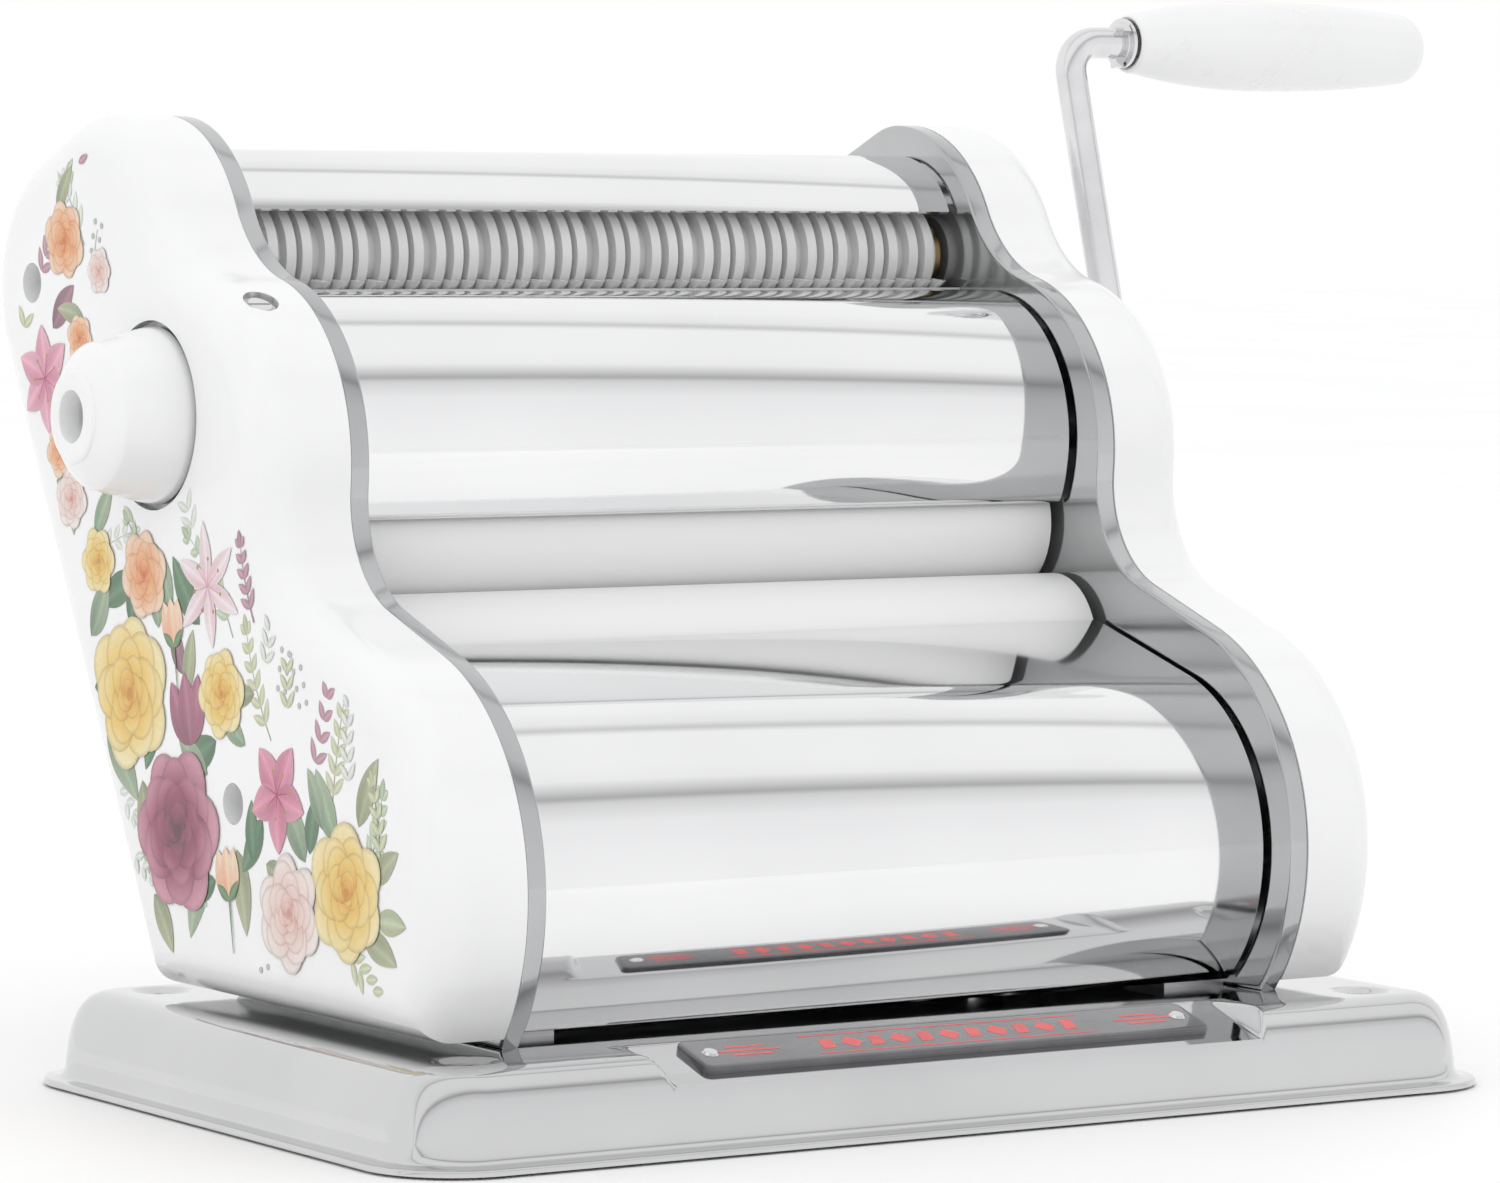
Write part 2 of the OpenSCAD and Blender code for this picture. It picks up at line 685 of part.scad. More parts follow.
module camshaft() {
    color("gray") difference() {
        union() {
            bar_x(knob_c, cam_shaft_r, -cover_out + recess_d, cam_x + cam_w);
            bar_x(knob_c, spindle_r, shaft_end, bay_c + gear_w);
        }
        bar_x(knob_c, 1.6, shaft_end - 1, shaft_end + 8);
    }
}
module knob_screw() {
    color("silver") difference() {
        union() {
            bar_x(knob_c, 1.58, shaft_end - 6, shaft_end + 7);
            bar_x(knob_c, 4.95, shaft_end - 8, shaft_end - 6);
        }
        at_yz(knob_c, 20) translate([shaft_end - 9, -3, -0.5]) cube([2, 6, 1]);
    }
}

// ---------- knob ----------

knob_nose = -151;
knob_drum = 16;      // length of the knob's tapered part
knob_taper = 0.24;
face_r = 9.2;
bore_r = 6;
// Radius of the knob at distance t in front of its back face, whole length t1
function knob_rad(t, t1) = let (r1 = knob_r - knob_taper * knob_drum)
    t < knob_drum ? knob_r - knob_taper * t
    : face_r + (r1 - face_r) * (1 - pow((t - knob_drum) / (t1 - knob_drum), 1.5));
module knob() {
    x1 = knob_back;
    t1 = x1 - knob_nose;
    color("white") difference() {
        turned(knob_c, concat([[0, x1], [knob_r - 1, x1]],
            [[knob_rad(1, t1), x1 - 1]],
            [for (k = [0:6]) let (t = knob_drum + (t1 - 0.6 - knob_drum) * k / 6)
                [knob_rad(t, t1), x1 - t]],
            [[face_r - 0.6, knob_nose], [0, knob_nose]]));
        bar_x(knob_c, spindle_r + run, x1 - 30, x1 + 1);
        bar_x(knob_c, bore_r, knob_nose - 1, shaft_end + 1.4);
        bar_x(reach(knob_c, pin_a, pin_r0), pin_r + slip, x1 - 5, x1 + 1);
    }
}
module index_pin() {
    color("silver") bar_x(reach(knob_c, pin_a, pin_r0), pin_r, knob_back - 5, knob_back + 1.2);
}
module knob_spring() {
    color("silver") for (i = [0:3])
        translate([shaft_end - 5.6 + i * 2.15, knob_c[0], knob_c[1]]) rotate([0, 90, 0])
            rotate_extrude($fn = 32) translate([4.65, 0]) circle(0.35, $fn = 16);
}

// ---------- drive ----------

socket_x = bay_c + gear_w + 1;
hub_end = cover_out + 8;
module drive_hub() {
    color("gray") difference() {
        bar_x(knob_c, hub_r, bay_a, hub_end);
        bar_x(knob_c, spindle_r + run, bay_a - 1, bay_c + gear_w + 0.4);
        bar_x(knob_c, rod_r + slip, socket_x, hub_end + 1);
    }
}
module cutter_drive_gear() {
    color("darkgray") difference() {
        gear(knob_c, teeth_cut, gear_m, turn_cut, bay_b, bay_b + gear_w, hub_r + slip, 0.75);
        for (a = [30:60:330])
            bar_x(reach(knob_c, a, 20), 5.5, bay_b - 1, bay_b + gear_w + 1);
    }
}
module roller_drive_gear() {
    color("darkgray") gear(knob_c, teeth_drive, gear_m, turn_drive, bay_c, bay_c + gear_w,
        hub_r + slip);
}
bend_r = 9;
module rod_bend(c, start) {
    translate([c[0], 0, c[1]]) rotate([90, 0, 0]) rotate([0, 0, start])
        rotate_extrude(angle = 90) translate([bend_r, 0]) circle(rod_r, $fn = 32);
}
module crank_arm() {
    color("silver") translate([0, knob_c[0], knob_c[1]]) rotate([-crank_lean, 0, 0]) {
        bar_x([0, 0], rod_r, socket_x + 0.2, arm_x - bend_r);
        rod_bend([arm_x - bend_r, bend_r], -90);
        translate([arm_x, 0, bend_r]) cylinder(r = rod_r, h = crank_len - 2 * bend_r);
        rod_bend([arm_x + bend_r, crank_len - bend_r], 90);
        bar_x([0, crank_len], rod_r, arm_x + bend_r, grip_x + grip_l - 8);
    }
}
module grip_clip() {
    color("silver") difference() {
        union() {
            bar_x(grip_c, 5.4, grip_x - 3, grip_x - 1.9);
            for (a = [20, 140, 260]) at_yz(grip_c, a)
                translate([grip_x - 4.6, 3, -1.3]) cube([2.2, 3.4, 2.6]);
        }
        bar_x(grip_c, rod_r + slip, grip_x - 6, grip_x);
    }
}
module grip_washer() {
    color("silver") ring_x(grip_c, 6.4, rod_r + slip, grip_x - 1.9, grip_x - 0.9);
}
function grip_rad(s) = grip_r - 4.6 * pow(abs(s - 0.46) / 0.5, 2.2);
module grip() {
    x1 = grip_x + grip_l;
    n = 16;
    color("white") difference() {
        turned(grip_c, concat([[0, grip_x], [5.4, grip_x]],
            [for (i = [0:n]) let (s = i / n)
                [grip_rad(0.02 + 0.94 * s), grip_x + 1.6 + (grip_l - 4.6) * s]],
            [for (a = [30:30:90]) [grip_rad(0.96) - 3 + 3 * cos(a), x1 - 3 + 3 * sin(a)]],
            [[0, x1]]));
        bar_x(grip_c, rod_r + run, grip_x - 1, x1 - 7);
    }
}

// ---------- cutters ----------

// Rings from left edge to right edge, each a pair [x0, x1]
upper_rings = [for (g = [0:ring_groups - 1], k = [0:2])
    [group_x(g) + ring_at[k], group_x(g) + ring_at[k] + ring_w]];
lower_rings = [for (g = [0:ring_groups - 1], k = [0:2])
    [group_x(g) + ring_at[k] + ring_w + ring_gap, group_x(g) + ring_next[k] - ring_gap]];
module ring_roller(p, rings) {
    turned(p, concat([[cutter_shaft_r + slip, -roller_l / 2], [core_r, -roller_l / 2]],
        [for (q = rings) each [[core_r, q[0]], [cutter_r, q[0]], [cutter_r, q[1]],
            [core_r, q[1]]]],
        [[core_r, roller_l / 2], [cutter_shaft_r + slip, roller_l / 2]]));
}
module upper_cutter() { color("whitesmoke") ring_roller(cutter_c, upper_rings); }
module lower_cutter() { color("whitesmoke") ring_roller(cutter2_c, lower_rings); }
module upper_cutter_shaft() {
    color("gray") bar_x(cutter_c, cutter_shaft_r, -plate_out - 3, bay_b + gear_w + 0.3);
}
module lower_cutter_shaft() {
    color("gray") bar_x(cutter2_c, cutter_shaft_r, -plate_out - 3, bay_a + gear_w - 0.2);
}
module upper_cutter_gear() {
    color("darkgray") gear(cutter_c, teeth_pinion, gear_m, turn_pinion, bay_a,
        bay_b + gear_w, cutter_shaft_r + slip);
}
module lower_cutter_gear() {
    color("darkgray") gear(cutter2_c, teeth_pinion, gear_m, turn_pinion2, bay_a,
        bay_a + gear_w, cutter_shaft_r + slip);
}

// ---------- idler ----------

module idler_gear() {
    color("darkgray") {
        gear(idler_c, teeth_idler, gear_m, turn_idler, bay_c, bay_c + gear_w, 4 + run);
        ring_x(idler_c, 7, 4 + run, plate_out + 0.5, bay_c);
    }
}
module idler_pin() {
    color("gray") {
        bar_x(idler_c, 2.98, plate_in, plate_out);
        bar_x(idler_c, 4, plate_out, bay_c + gear_w + 0.3);
        bar_x(idler_c, 5.4, bay_c + gear_w + 0.3, bay_c + gear_w + 1);
    }
}

base_tray();
base_feet();
badge();
badge_rivets();
left_side_plate();
right_side_plate();
plate_brackets();
bracket_screws();
tie_rods();
tie_rod_nuts();
left_cover();
right_cover();
cover_screws();
oil_plug();
top_cover();
mid_cover();
lower_cover();
rear_mid_cover();
rear_lower_cover();
upper_comb();
lower_comb();
roller_scraper();
camshaft_bushes();
roller_bushes();
cutter_bushes();
index_plate();
lower_roller();
lower_roller_shaft();
lower_nip_gear();
lower_drive_gear();
upper_roller();
upper_roller_shaft();
upper_nip_gear();
left_bearing_block();
right_bearing_block();
camshaft();
left_cam();
right_cam();
knob_screw();
knob();
index_pin();
knob_spring();
drive_hub();
cutter_drive_gear();
roller_drive_gear();
crank_arm();
grip_washer();
grip_clip();
grip();
upper_cutter();
upper_cutter_shaft();
upper_cutter_gear();
lower_cutter();
lower_cutter_shaft();
lower_cutter_gear();
idler_gear();
idler_pin();
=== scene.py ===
import math
import random

import bmesh
import bpy
import numpy as np
from mathutils import Matrix, Vector

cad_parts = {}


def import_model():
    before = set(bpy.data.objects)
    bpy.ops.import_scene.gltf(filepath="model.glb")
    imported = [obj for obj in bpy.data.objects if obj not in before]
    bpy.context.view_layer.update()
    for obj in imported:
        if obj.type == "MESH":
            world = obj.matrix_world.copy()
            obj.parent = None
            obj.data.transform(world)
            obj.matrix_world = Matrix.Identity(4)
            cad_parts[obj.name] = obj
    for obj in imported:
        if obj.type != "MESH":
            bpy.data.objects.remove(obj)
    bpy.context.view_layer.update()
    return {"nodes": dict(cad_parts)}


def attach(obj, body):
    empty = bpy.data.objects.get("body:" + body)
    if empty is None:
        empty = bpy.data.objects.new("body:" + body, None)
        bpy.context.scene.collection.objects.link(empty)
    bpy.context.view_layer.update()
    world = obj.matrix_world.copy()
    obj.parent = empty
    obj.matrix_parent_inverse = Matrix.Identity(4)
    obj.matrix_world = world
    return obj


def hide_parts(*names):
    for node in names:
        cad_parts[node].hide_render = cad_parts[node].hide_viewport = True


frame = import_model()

MM = 0.001


# ---------------------------------------------------------------- helpers: outline

def unit(a):
    return np.array([math.cos(math.radians(a)), math.sin(math.radians(a))])


def reach(p, a, d):
    return np.asarray(p, float) + d * unit(a)


def heading(p, q):
    return math.degrees(math.atan2(q[1] - p[1], q[0] - p[0]))


def meet(p, q, a, b):
    p, q = np.asarray(p, float), np.asarray(q, float)
    d = np.linalg.norm(q - p)
    e = (q - p) / d
    s = (a * a - b * b + d * d) / (2 * d)
    h = math.sqrt(a * a - s * s)
    return p + s * e + h * np.array([e[1], -e[0]])


TRAY_H, PLATE_IN, PLATE_T, COVER_D = 22.0, 102.0, 5.0, 23.0
PLATE_OUT = PLATE_IN + PLATE_T
COVER_OUT = PLATE_OUT + COVER_D
COVER_Z = TRAY_H + 2.4
LOW, LOW_R, CHUTE = np.array([-15.9, 55.5]), 54.0, 19.0
HOLLOW_R, MID, MID_R = 26.0, np.array([52.0, 146.7]), 43.3
THROAT_R, TOP, TOP_R = 34.0, np.array([98.5, 187.3]), 39.3
CROWN_A, CROWN_R = 92.0, 24.0
BACK, BACK_R, LEAN, HEEL_R = np.array([112.0, 185.3]), 34.5, 28.2, 12.0
_base = reach(LOW, 90 + CHUTE, LOW_R + HOLLOW_R)
_w = _base - MID
_b = float(_w @ unit(CHUTE))
HOLLOW = _base + (-_b - math.sqrt(_b * _b - _w @ _w + (MID_R + HOLLOW_R) ** 2)) * unit(CHUTE)
THROAT = meet(TOP, MID, TOP_R + THROAT_R, MID_R + THROAT_R)
CROWN = reach(TOP, CROWN_A, TOP_R - CROWN_R)
CROWN_END = heading(CROWN, BACK) + math.degrees(
    math.acos((CROWN_R - BACK_R) / np.linalg.norm(BACK - CROWN)))
BACK_T = reach(BACK, -LEAN, BACK_R)
_s = (BACK_T[1] + HEEL_R * math.sin(math.radians(LEAN)) - TRAY_H - HEEL_R) / math.cos(
    math.radians(LEAN))
HEEL = reach(BACK_T - _s * np.array([math.sin(math.radians(LEAN)), math.cos(math.radians(LEAN))]),
             180 - LEAN, HEEL_R)
LOWER = np.array([23.5, 99.0])
UPPER = reach(LOWER, 56.5, 35.3)
KNOB = reach(UPPER, 56.5, 34.3)
CUT1 = reach(KNOB, 56.2, 44.25)
CUT2 = reach(CUT1, -100, 24)
GRIP = reach(KNOB, 90 - 15.9, 95)
SCREWS_L = [(123.2, 186.6), (21.9, 70.2)]
SCREWS_R = [(123.2, 186.6), (6.0, 58.0)]
TABLE_X, TABLE_Y, TABLE_HOLE_R = 123.0, 70.0, 2.75
PLUG = reach(MID, 120, MID_R - 2.2)


def arc(c, r, a0, a1, n):
    return [reach(c, a0 + (a1 - a0) * i / n, r) for i in range(n + 1)]


def back_point(z, d):
    lean = math.radians(LEAN)
    return np.array([BACK_T[0] - (BACK_T[1] - z) * math.tan(lean) - d / math.cos(lean), z])


def outline(d, z, k=3.0):
    """The side outline moved in by d, foot at z + d, always with the same number of points."""
    foot = 180 - math.degrees(math.asin((z + d - LOW[1]) / (LOW_R - d)))
    sin_end = (z + d - HEEL[1]) / max(0.1, HEEL_R - d)
    heel_end = math.degrees(math.asin(max(-1.0, min(1.0, sin_end))))
    n = lambda span: int(math.ceil(span / k))
    pts = arc(LOW, LOW_R - d, foot, 90 + CHUTE, n(110))
    pts += [pts[-1] + (reach(HOLLOW, CHUTE - 90, HOLLOW_R + d) - pts[-1]) * t
            for t in (0.25, 0.5, 0.75)]
    pts += arc(HOLLOW, HOLLOW_R + d, CHUTE - 90, heading(HOLLOW, MID), n(77))
    pts += arc(MID, MID_R - d, heading(MID, HOLLOW) + 360, heading(MID, THROAT), n(82))[1:]
    pts += arc(THROAT, THROAT_R + d, heading(THROAT, MID), heading(THROAT, TOP), n(48))[1:]
    pts += arc(TOP, TOP_R - d, heading(TOP, THROAT), CROWN_A, n(60))[1:]
    pts += arc(CROWN, CROWN_R - d, CROWN_A, CROWN_END, n(25))[1:]
    pts += arc(BACK, BACK_R - d, CROWN_END, -LEAN, n(95))
    heel = (arc(HEEL, HEEL_R - d, -LEAN, heel_end, n(60)) if heel_end < -LEAN - 0.5
            else [back_point(z + d, d)] * (n(60) + 1))
    pts += [pts[-1] + (heel[0] - pts[-1]) * t for t in (0.25, 0.5, 0.75)]
    pts += heel
    pts += [pts[-1] + (pts[0] - pts[-1]) * t for t in (0.2, 0.4, 0.6, 0.8)]
    return np.array(pts)


# ---------------------------------------------------------------- helpers: meshes

def finish_mesh(name, verts, faces, mat, smooth_deg=35.0):
    me = bpy.data.meshes.new(name)
    me.from_pydata([tuple(float(c) * MM for c in v) for v in verts], [],
                   [tuple(int(i) for i in f) for f in faces])
    bm = bmesh.new()
    bm.from_mesh(me)
    bmesh.ops.remove_doubles(bm, verts=bm.verts, dist=1e-7)
    bmesh.ops.recalc_face_normals(bm, faces=bm.faces)
    bm.to_mesh(me)
    bm.free()
    for p in me.polygons:
        p.use_smooth = True
    me.set_sharp_from_angle(angle=math.radians(smooth_deg))
    ob = bpy.data.objects.new(name, me)
    bpy.context.scene.collection.objects.link(ob)
    me.materials.append(mat)
    return ob


class Shape:
    """Collects vertices and faces of one piece, in millimetres."""

    def __init__(self):
        self.v, self.f = [], []

    def rings(self, rings, closed=True, cap0=False, cap1=False):
        n, base = len(rings[0]), len(self.v)
        for r in rings:
            self.v += [tuple(p) for p in r]
        m = n if closed else n - 1
        for i in range(len(rings) - 1):
            for j in range(m):
                a, b = base + i * n + j, base + i * n + (j + 1) % n
                self.f.append((a, b, b + n, a + n))
        if cap0:
            self.f.append(tuple(base + j for j in range(n)))
        if cap1:
            self.f.append(tuple(base + (len(rings) - 1) * n + j for j in range(n)))

    def lathe_x(self, c, profile, n=96, cap0=False, cap1=False):
        """Turns [radius, x] points about the X-parallel axis through c = (y, z)."""
        out = []
        for r, x in profile:
            out.append([(x, c[0] + r * math.cos(t), c[1] + r * math.sin(t))
                        for t in [2 * math.pi * i / n for i in range(n)]])
        self.rings(out, True, cap0, cap1)

    def obj(self, name, mat, smooth_deg=35.0):
        return finish_mesh(name, self.v, self.f, mat, smooth_deg)


def fillet_profile(points, r, k=6):
    """Rounds the corners of an open polyline of [radius, x] points."""
    pts = [np.array(p, float) for p in points]
    out = [pts[0]]
    for a, b, c in zip(pts, pts[1:], pts[2:]):
        u, w = a - b, c - b
        lu, lw = np.linalg.norm(u), np.linalg.norm(w)
        t = min(r, lu * 0.45, lw * 0.45)
        p0, p1 = b + u / lu * t, b + w / lw * t
        for i in range(k + 1):
            s = i / k
            out.append((1 - s) ** 2 * p0 + 2 * s * (1 - s) * b + s * s * p1)
    out.append(pts[-1])
    return out


def cut(ob, cutters):
    for c in cutters:
        mod = ob.modifiers.new("cut", "BOOLEAN")
        mod.operation = "DIFFERENCE"
        mod.solver = "EXACT"
        mod.object = c
    dg = bpy.context.evaluated_depsgraph_get()
    me = bpy.data.meshes.new_from_object(ob.evaluated_get(dg))
    ob.modifiers.clear()
    ob.data = me
    while len(me.materials) > 1:
        me.materials.pop(index=len(me.materials) - 1)
    for p in me.polygons:
        p.use_smooth = True
        p.material_index = 0
    me.set_sharp_from_angle(angle=math.radians(35))
    for c in cutters:
        bpy.data.objects.remove(c, do_unlink=True)


def rod_x(c, r, x0, x1, n=64):
    s = Shape()
    s.lathe_x(c, [(r, x0), (r, x1)], n, True, True)
    return s.obj("tool", BLANK)


# ---------------------------------------------------------------- materials

def ramp(nt, fac, stops):
    node = nt.nodes.new("ShaderNodeValToRGB")
    el = node.color_ramp.elements
    while len(el) < len(stops):
        el.new(0.5)
    for e, (p, c) in zip(el, stops):
        e.position = p
        e.color = (*c, 1.0)
    nt.links.new(fac, node.inputs[0])
    return node.outputs["Color"]


def noise(nt, scale, detail=3.0, stretch=(1, 1, 1), rough=0.5):
    tc = nt.nodes.new("ShaderNodeTexCoord")
    mp = nt.nodes.new("ShaderNodeMapping")
    mp.inputs["Scale"].default_value = stretch
    nz = nt.nodes.new("ShaderNodeTexNoise")
    nz.inputs["Scale"].default_value = scale
    nz.inputs["Detail"].default_value = detail
    nz.inputs["Roughness"].default_value = rough
    nt.links.new(tc.outputs["Object"], mp.inputs["Vector"])
    nt.links.new(mp.outputs["Vector"], nz.inputs["Vector"])
    return nz.outputs["Fac"]


def material(name, c0, c1, rough=(0.2, 0.3), metallic=0.0, scale=60.0, stretch=(1, 1, 1),
             bump=0.0, bump_scale=400.0, bump_stretch=(1, 1, 1), coat=0.0, coat_rough=0.05,
             ior=1.5, attribute=None, bump_dist=0.0002):
    mat = bpy.data.materials.new(name)
    mat.use_nodes = True
    nt = mat.node_tree
    bsdf = nt.nodes["Principled BSDF"]
    fac = noise(nt, scale, 4.0, stretch)
    col = ramp(nt, fac, [(0.3, c0), (0.7, c1)])
    if attribute:
        at = nt.nodes.new("ShaderNodeAttribute")
        at.attribute_name = attribute
        mix = nt.nodes.new("ShaderNodeMix")
        mix.data_type = "RGBA"
        mix.blend_type = "MULTIPLY"
        mix.inputs[0].default_value = 1.0
        nt.links.new(at.outputs["Color"], mix.inputs[6])
        nt.links.new(col, mix.inputs[7])
        col = mix.outputs[2]
    nt.links.new(col, bsdf.inputs["Base Color"])
    bsdf.inputs["Metallic"].default_value = metallic
    mr = nt.nodes.new("ShaderNodeMapRange")
    mr.inputs["To Min"].default_value = rough[0]
    mr.inputs["To Max"].default_value = rough[1]
    nt.links.new(fac, mr.inputs["Value"])
    nt.links.new(mr.outputs["Result"], bsdf.inputs["Roughness"])
    bsdf.inputs["IOR"].default_value = ior
    if coat:
        bsdf.inputs["Coat Weight"].default_value = coat
        bsdf.inputs["Coat Roughness"].default_value = coat_rough
    if bump:
        bp = nt.nodes.new("ShaderNodeBump")
        bp.inputs["Strength"].default_value = bump
        bp.inputs["Distance"].default_value = bump_dist
        nt.links.new(noise(nt, bump_scale, 3.0, bump_stretch), bp.inputs["Height"])
        nt.links.new(bp.outputs["Normal"], bsdf.inputs["Normal"])
    return mat


BLANK = bpy.data.materials.new("blank")
CHROME = material("chrome", (0.84, 0.842, 0.845), (0.89, 0.892, 0.895), (0.035, 0.075), 1.0,
                  scale=12, bump=0.02, bump_scale=18, bump_stretch=(0.25, 1, 1),
                  bump_dist=0.001)
# painted shade: the tray's chrome is tinted darker than the covers' chrome to stand in for darker
# reflections on its slopes
CHROME_TRAY = material("chrome_tray_painted_shade", (0.60, 0.602, 0.605), (0.66, 0.662, 0.665), (0.04, 0.08),
                       1.0, scale=14, bump=0.02, bump_scale=14, bump_dist=0.001)
# painted shade: the side plates' chrome is tinted much darker than the covers' chrome to stand in for the
# dark reflections on their faces
PLATE = material("chrome_plate_painted_shade", (0.46, 0.465, 0.47), (0.54, 0.545, 0.55), (0.08, 0.14), 1.0,
                 scale=20, bump=0.02, bump_scale=30, bump_dist=0.0006)
STEEL = material("bright_steel", (0.70, 0.70, 0.71), (0.80, 0.80, 0.81), (0.10, 0.18), 1.0,
                 scale=80, bump=0.03, bump_scale=300)
DULL = material("plain_steel", (0.42, 0.42, 0.43), (0.52, 0.52, 0.53), (0.28, 0.42), 1.0,
                scale=120, stretch=(0.2, 1, 1), bump=0.1, bump_scale=500,
                bump_stretch=(0.1, 1, 1))
GEAR = material("gear_steel", (0.36, 0.35, 0.34), (0.48, 0.47, 0.46), (0.3, 0.45), 1.0,
                scale=200, bump=0.15, bump_scale=900)
WHITE = material("white_gloss", (0.815, 0.817, 0.82), (0.84, 0.842, 0.845), (0.16, 0.22),
                 scale=30, bump=0.015, bump_scale=60, coat=0.35, coat_rough=0.06)
WHITE_GRIP = material("white_grip", (0.80, 0.802, 0.805), (0.825, 0.827, 0.83), (0.24, 0.32),
                      scale=40, bump=0.02, bump_scale=120, coat=0.2, coat_rough=0.15)
ACETAL = material("roller_acetal", (0.78, 0.78, 0.78), (0.82, 0.82, 0.818), (0.34, 0.44),
                  scale=30, stretch=(0.15, 1, 1), bump=0.03, bump_scale=600,
                  bump_stretch=(0.05, 1, 1))
CUTTER = material("cutter_plastic", (0.66, 0.66, 0.655), (0.74, 0.74, 0.735), (0.26, 0.36),
                  scale=60, bump=0.03, bump_scale=500)
NYLON = material("block_nylon", (0.74, 0.71, 0.62), (0.80, 0.77, 0.68), (0.4, 0.5), scale=90,
                 bump=0.05, bump_scale=500)
BRONZE = material("bush_bronze", (0.50, 0.35, 0.16), (0.62, 0.45, 0.22), (0.3, 0.42), 1.0,
                  scale=300, bump=0.1, bump_scale=1500)
RUBBER = material("black_rubber", (0.012, 0.012, 0.012), (0.03, 0.03, 0.03), (0.6, 0.75),
                  scale=200, bump=0.15, bump_scale=1500)
LENS = material("badge_lens", (0.055, 0.055, 0.062), (0.10, 0.10, 0.11), (0.05, 0.10),
                scale=60, coat=1.0, coat_rough=0.03)
RED = material("badge_red", (0.62, 0.015, 0.015), (0.80, 0.03, 0.025), (0.18, 0.28), scale=160,
               coat=0.6, coat_rough=0.05)
PRINT = material("printed_film", (0.74, 0.73, 0.72), (0.80, 0.80, 0.80), (0.2, 0.28), scale=900,
                 coat=0.3, coat_rough=0.06, attribute="ink")

BY_NODE = {
    "base_tray": CHROME_TRAY, "base_feet": RUBBER, "badge": LENS, "badge_rivets": STEEL,
    "left_side_plate": PLATE, "right_side_plate": PLATE, "plate_brackets": DULL,
    "bracket_screws": DULL, "tie_rods": DULL, "tie_rod_nuts": DULL, "left_cover": WHITE,
    "right_cover": WHITE, "cover_screws": STEEL, "oil_plug": STEEL, "top_cover": CHROME,
    "mid_cover": CHROME, "lower_cover": CHROME, "rear_mid_cover": CHROME,
    "rear_lower_cover": CHROME, "upper_comb": CUTTER, "lower_comb": CUTTER,
    "roller_scraper": DULL, "camshaft_bushes": BRONZE, "roller_bushes": BRONZE,
    "cutter_bushes": BRONZE, "index_plate": DULL, "lower_roller": ACETAL,
    "upper_roller": ACETAL, "lower_roller_shaft": DULL, "upper_roller_shaft": DULL,
    "left_bearing_block": NYLON, "right_bearing_block": NYLON, "camshaft": DULL,
    "knob_screw": STEEL, "knob": WHITE, "index_pin": STEEL, "knob_spring": STEEL,
    "drive_hub": DULL, "crank_arm": STEEL, "grip_washer": STEEL, "grip_clip": STEEL,
    "grip": WHITE_GRIP, "upper_cutter": CUTTER, "lower_cutter": CUTTER,
    "upper_cutter_shaft": DULL, "lower_cutter_shaft": DULL, "idler_pin": DULL,
}
for node, ob in frame["nodes"].items():
    mat = BY_NODE.get(node, GEAR)
    if not ob.data.materials:
        ob.data.materials.append(mat)
    for i in range(len(ob.data.materials)):
        ob.data.materials[i] = mat


# ---------------------------------------------------------------- camera

def make_camera():
    az, pitch, roll = (math.radians(a) for a in (-32.98, 3.647, 0.431))
    fwd = Vector((-math.sin(az) * math.cos(pitch), math.cos(az) * math.cos(pitch),
                  -math.sin(pitch)))
    right = Vector((math.cos(az), math.sin(az), 0))
    up = right.cross(fwd)
    r2 = math.cos(roll) * right + math.sin(roll) * up
    u2 = -math.sin(roll) * right + math.cos(roll) * up
    cam = bpy.data.cameras.new("camera")
    cam.sensor_fit = "HORIZONTAL"
    cam.sensor_width = 36
    cam.lens = 154.63
    cam.clip_start, cam.clip_end = 0.05, 60
    ob = bpy.data.objects.new("camera", cam)
    bpy.context.scene.collection.objects.link(ob)
    m = Matrix((r2, u2, -fwd)).transposed().to_4x4()
    m.translation = Vector((-0.82454, -1.26328, 0.21222))
    ob.matrix_world = m
    bpy.context.scene.camera = ob


make_camera()


# ---------------------------------------------------------------- light

def world():
    w = bpy.data.worlds.new("studio")
    bpy.context.scene.world = w
    w.use_nodes = True
    nt = w.node_tree
    bg = nt.nodes["Background"]
    tc = nt.nodes.new("ShaderNodeTexCoord")
    sp = nt.nodes.new("ShaderNodeSeparateXYZ")
    neg = nt.nodes.new("ShaderNodeMath")
    neg.operation = "MULTIPLY"
    neg.inputs[1].default_value = -1.0
    at = nt.nodes.new("ShaderNodeMath")
    at.operation = "ARCTAN2"
    mr = nt.nodes.new("ShaderNodeMapRange")
    mr.inputs["From Min"].default_value = -math.pi
    mr.inputs["From Max"].default_value = math.pi
    nt.links.new(tc.outputs["Generated"], sp.inputs[0])
    nt.links.new(sp.outputs["Y"], neg.inputs[0])
    nt.links.new(sp.outputs["Z"], at.inputs[0])
    nt.links.new(neg.outputs[0], at.inputs[1])
    nt.links.new(at.outputs[0], mr.inputs["Value"])
    # 0.5 is the front horizon, 0.75 straight up, 1.0 the back horizon
    tones = [(0.0, 1.0), (0.25, 0.9), (0.5, 1.0), (0.545, 0.98), (0.60, 0.93), (0.632, 0.74),
             (0.641, 0.46), (0.652, 0.66), (0.672, 0.96), (0.70, 1.0), (0.765, 1.0),
             (0.778, 0.66), (0.792, 0.92), (0.83, 1.0), (1.0, 1.0)]
    col = ramp(nt, mr.outputs["Result"], [(p, (t, t, min(1.0, t * 1.008))) for p, t in tones])
    nt.links.new(col, bg.inputs["Color"])
    bg.inputs["Strength"].default_value = 1.0


def area(name, loc, target, size, power, size_y=None):
    li = bpy.data.lights.new(name, "AREA")
    li.shape = "RECTANGLE"
    li.size = size
    li.size_y = size_y or size
    li.energy = power
    ob = bpy.data.objects.new(name, li)
    ob.location = loc
    ob.rotation_euler = (Vector(target) - Vector(loc)).to_track_quat("-Z", "Y").to_euler()
    ob.visible_glossy = False
    bpy.context.scene.collection.objects.link(ob)


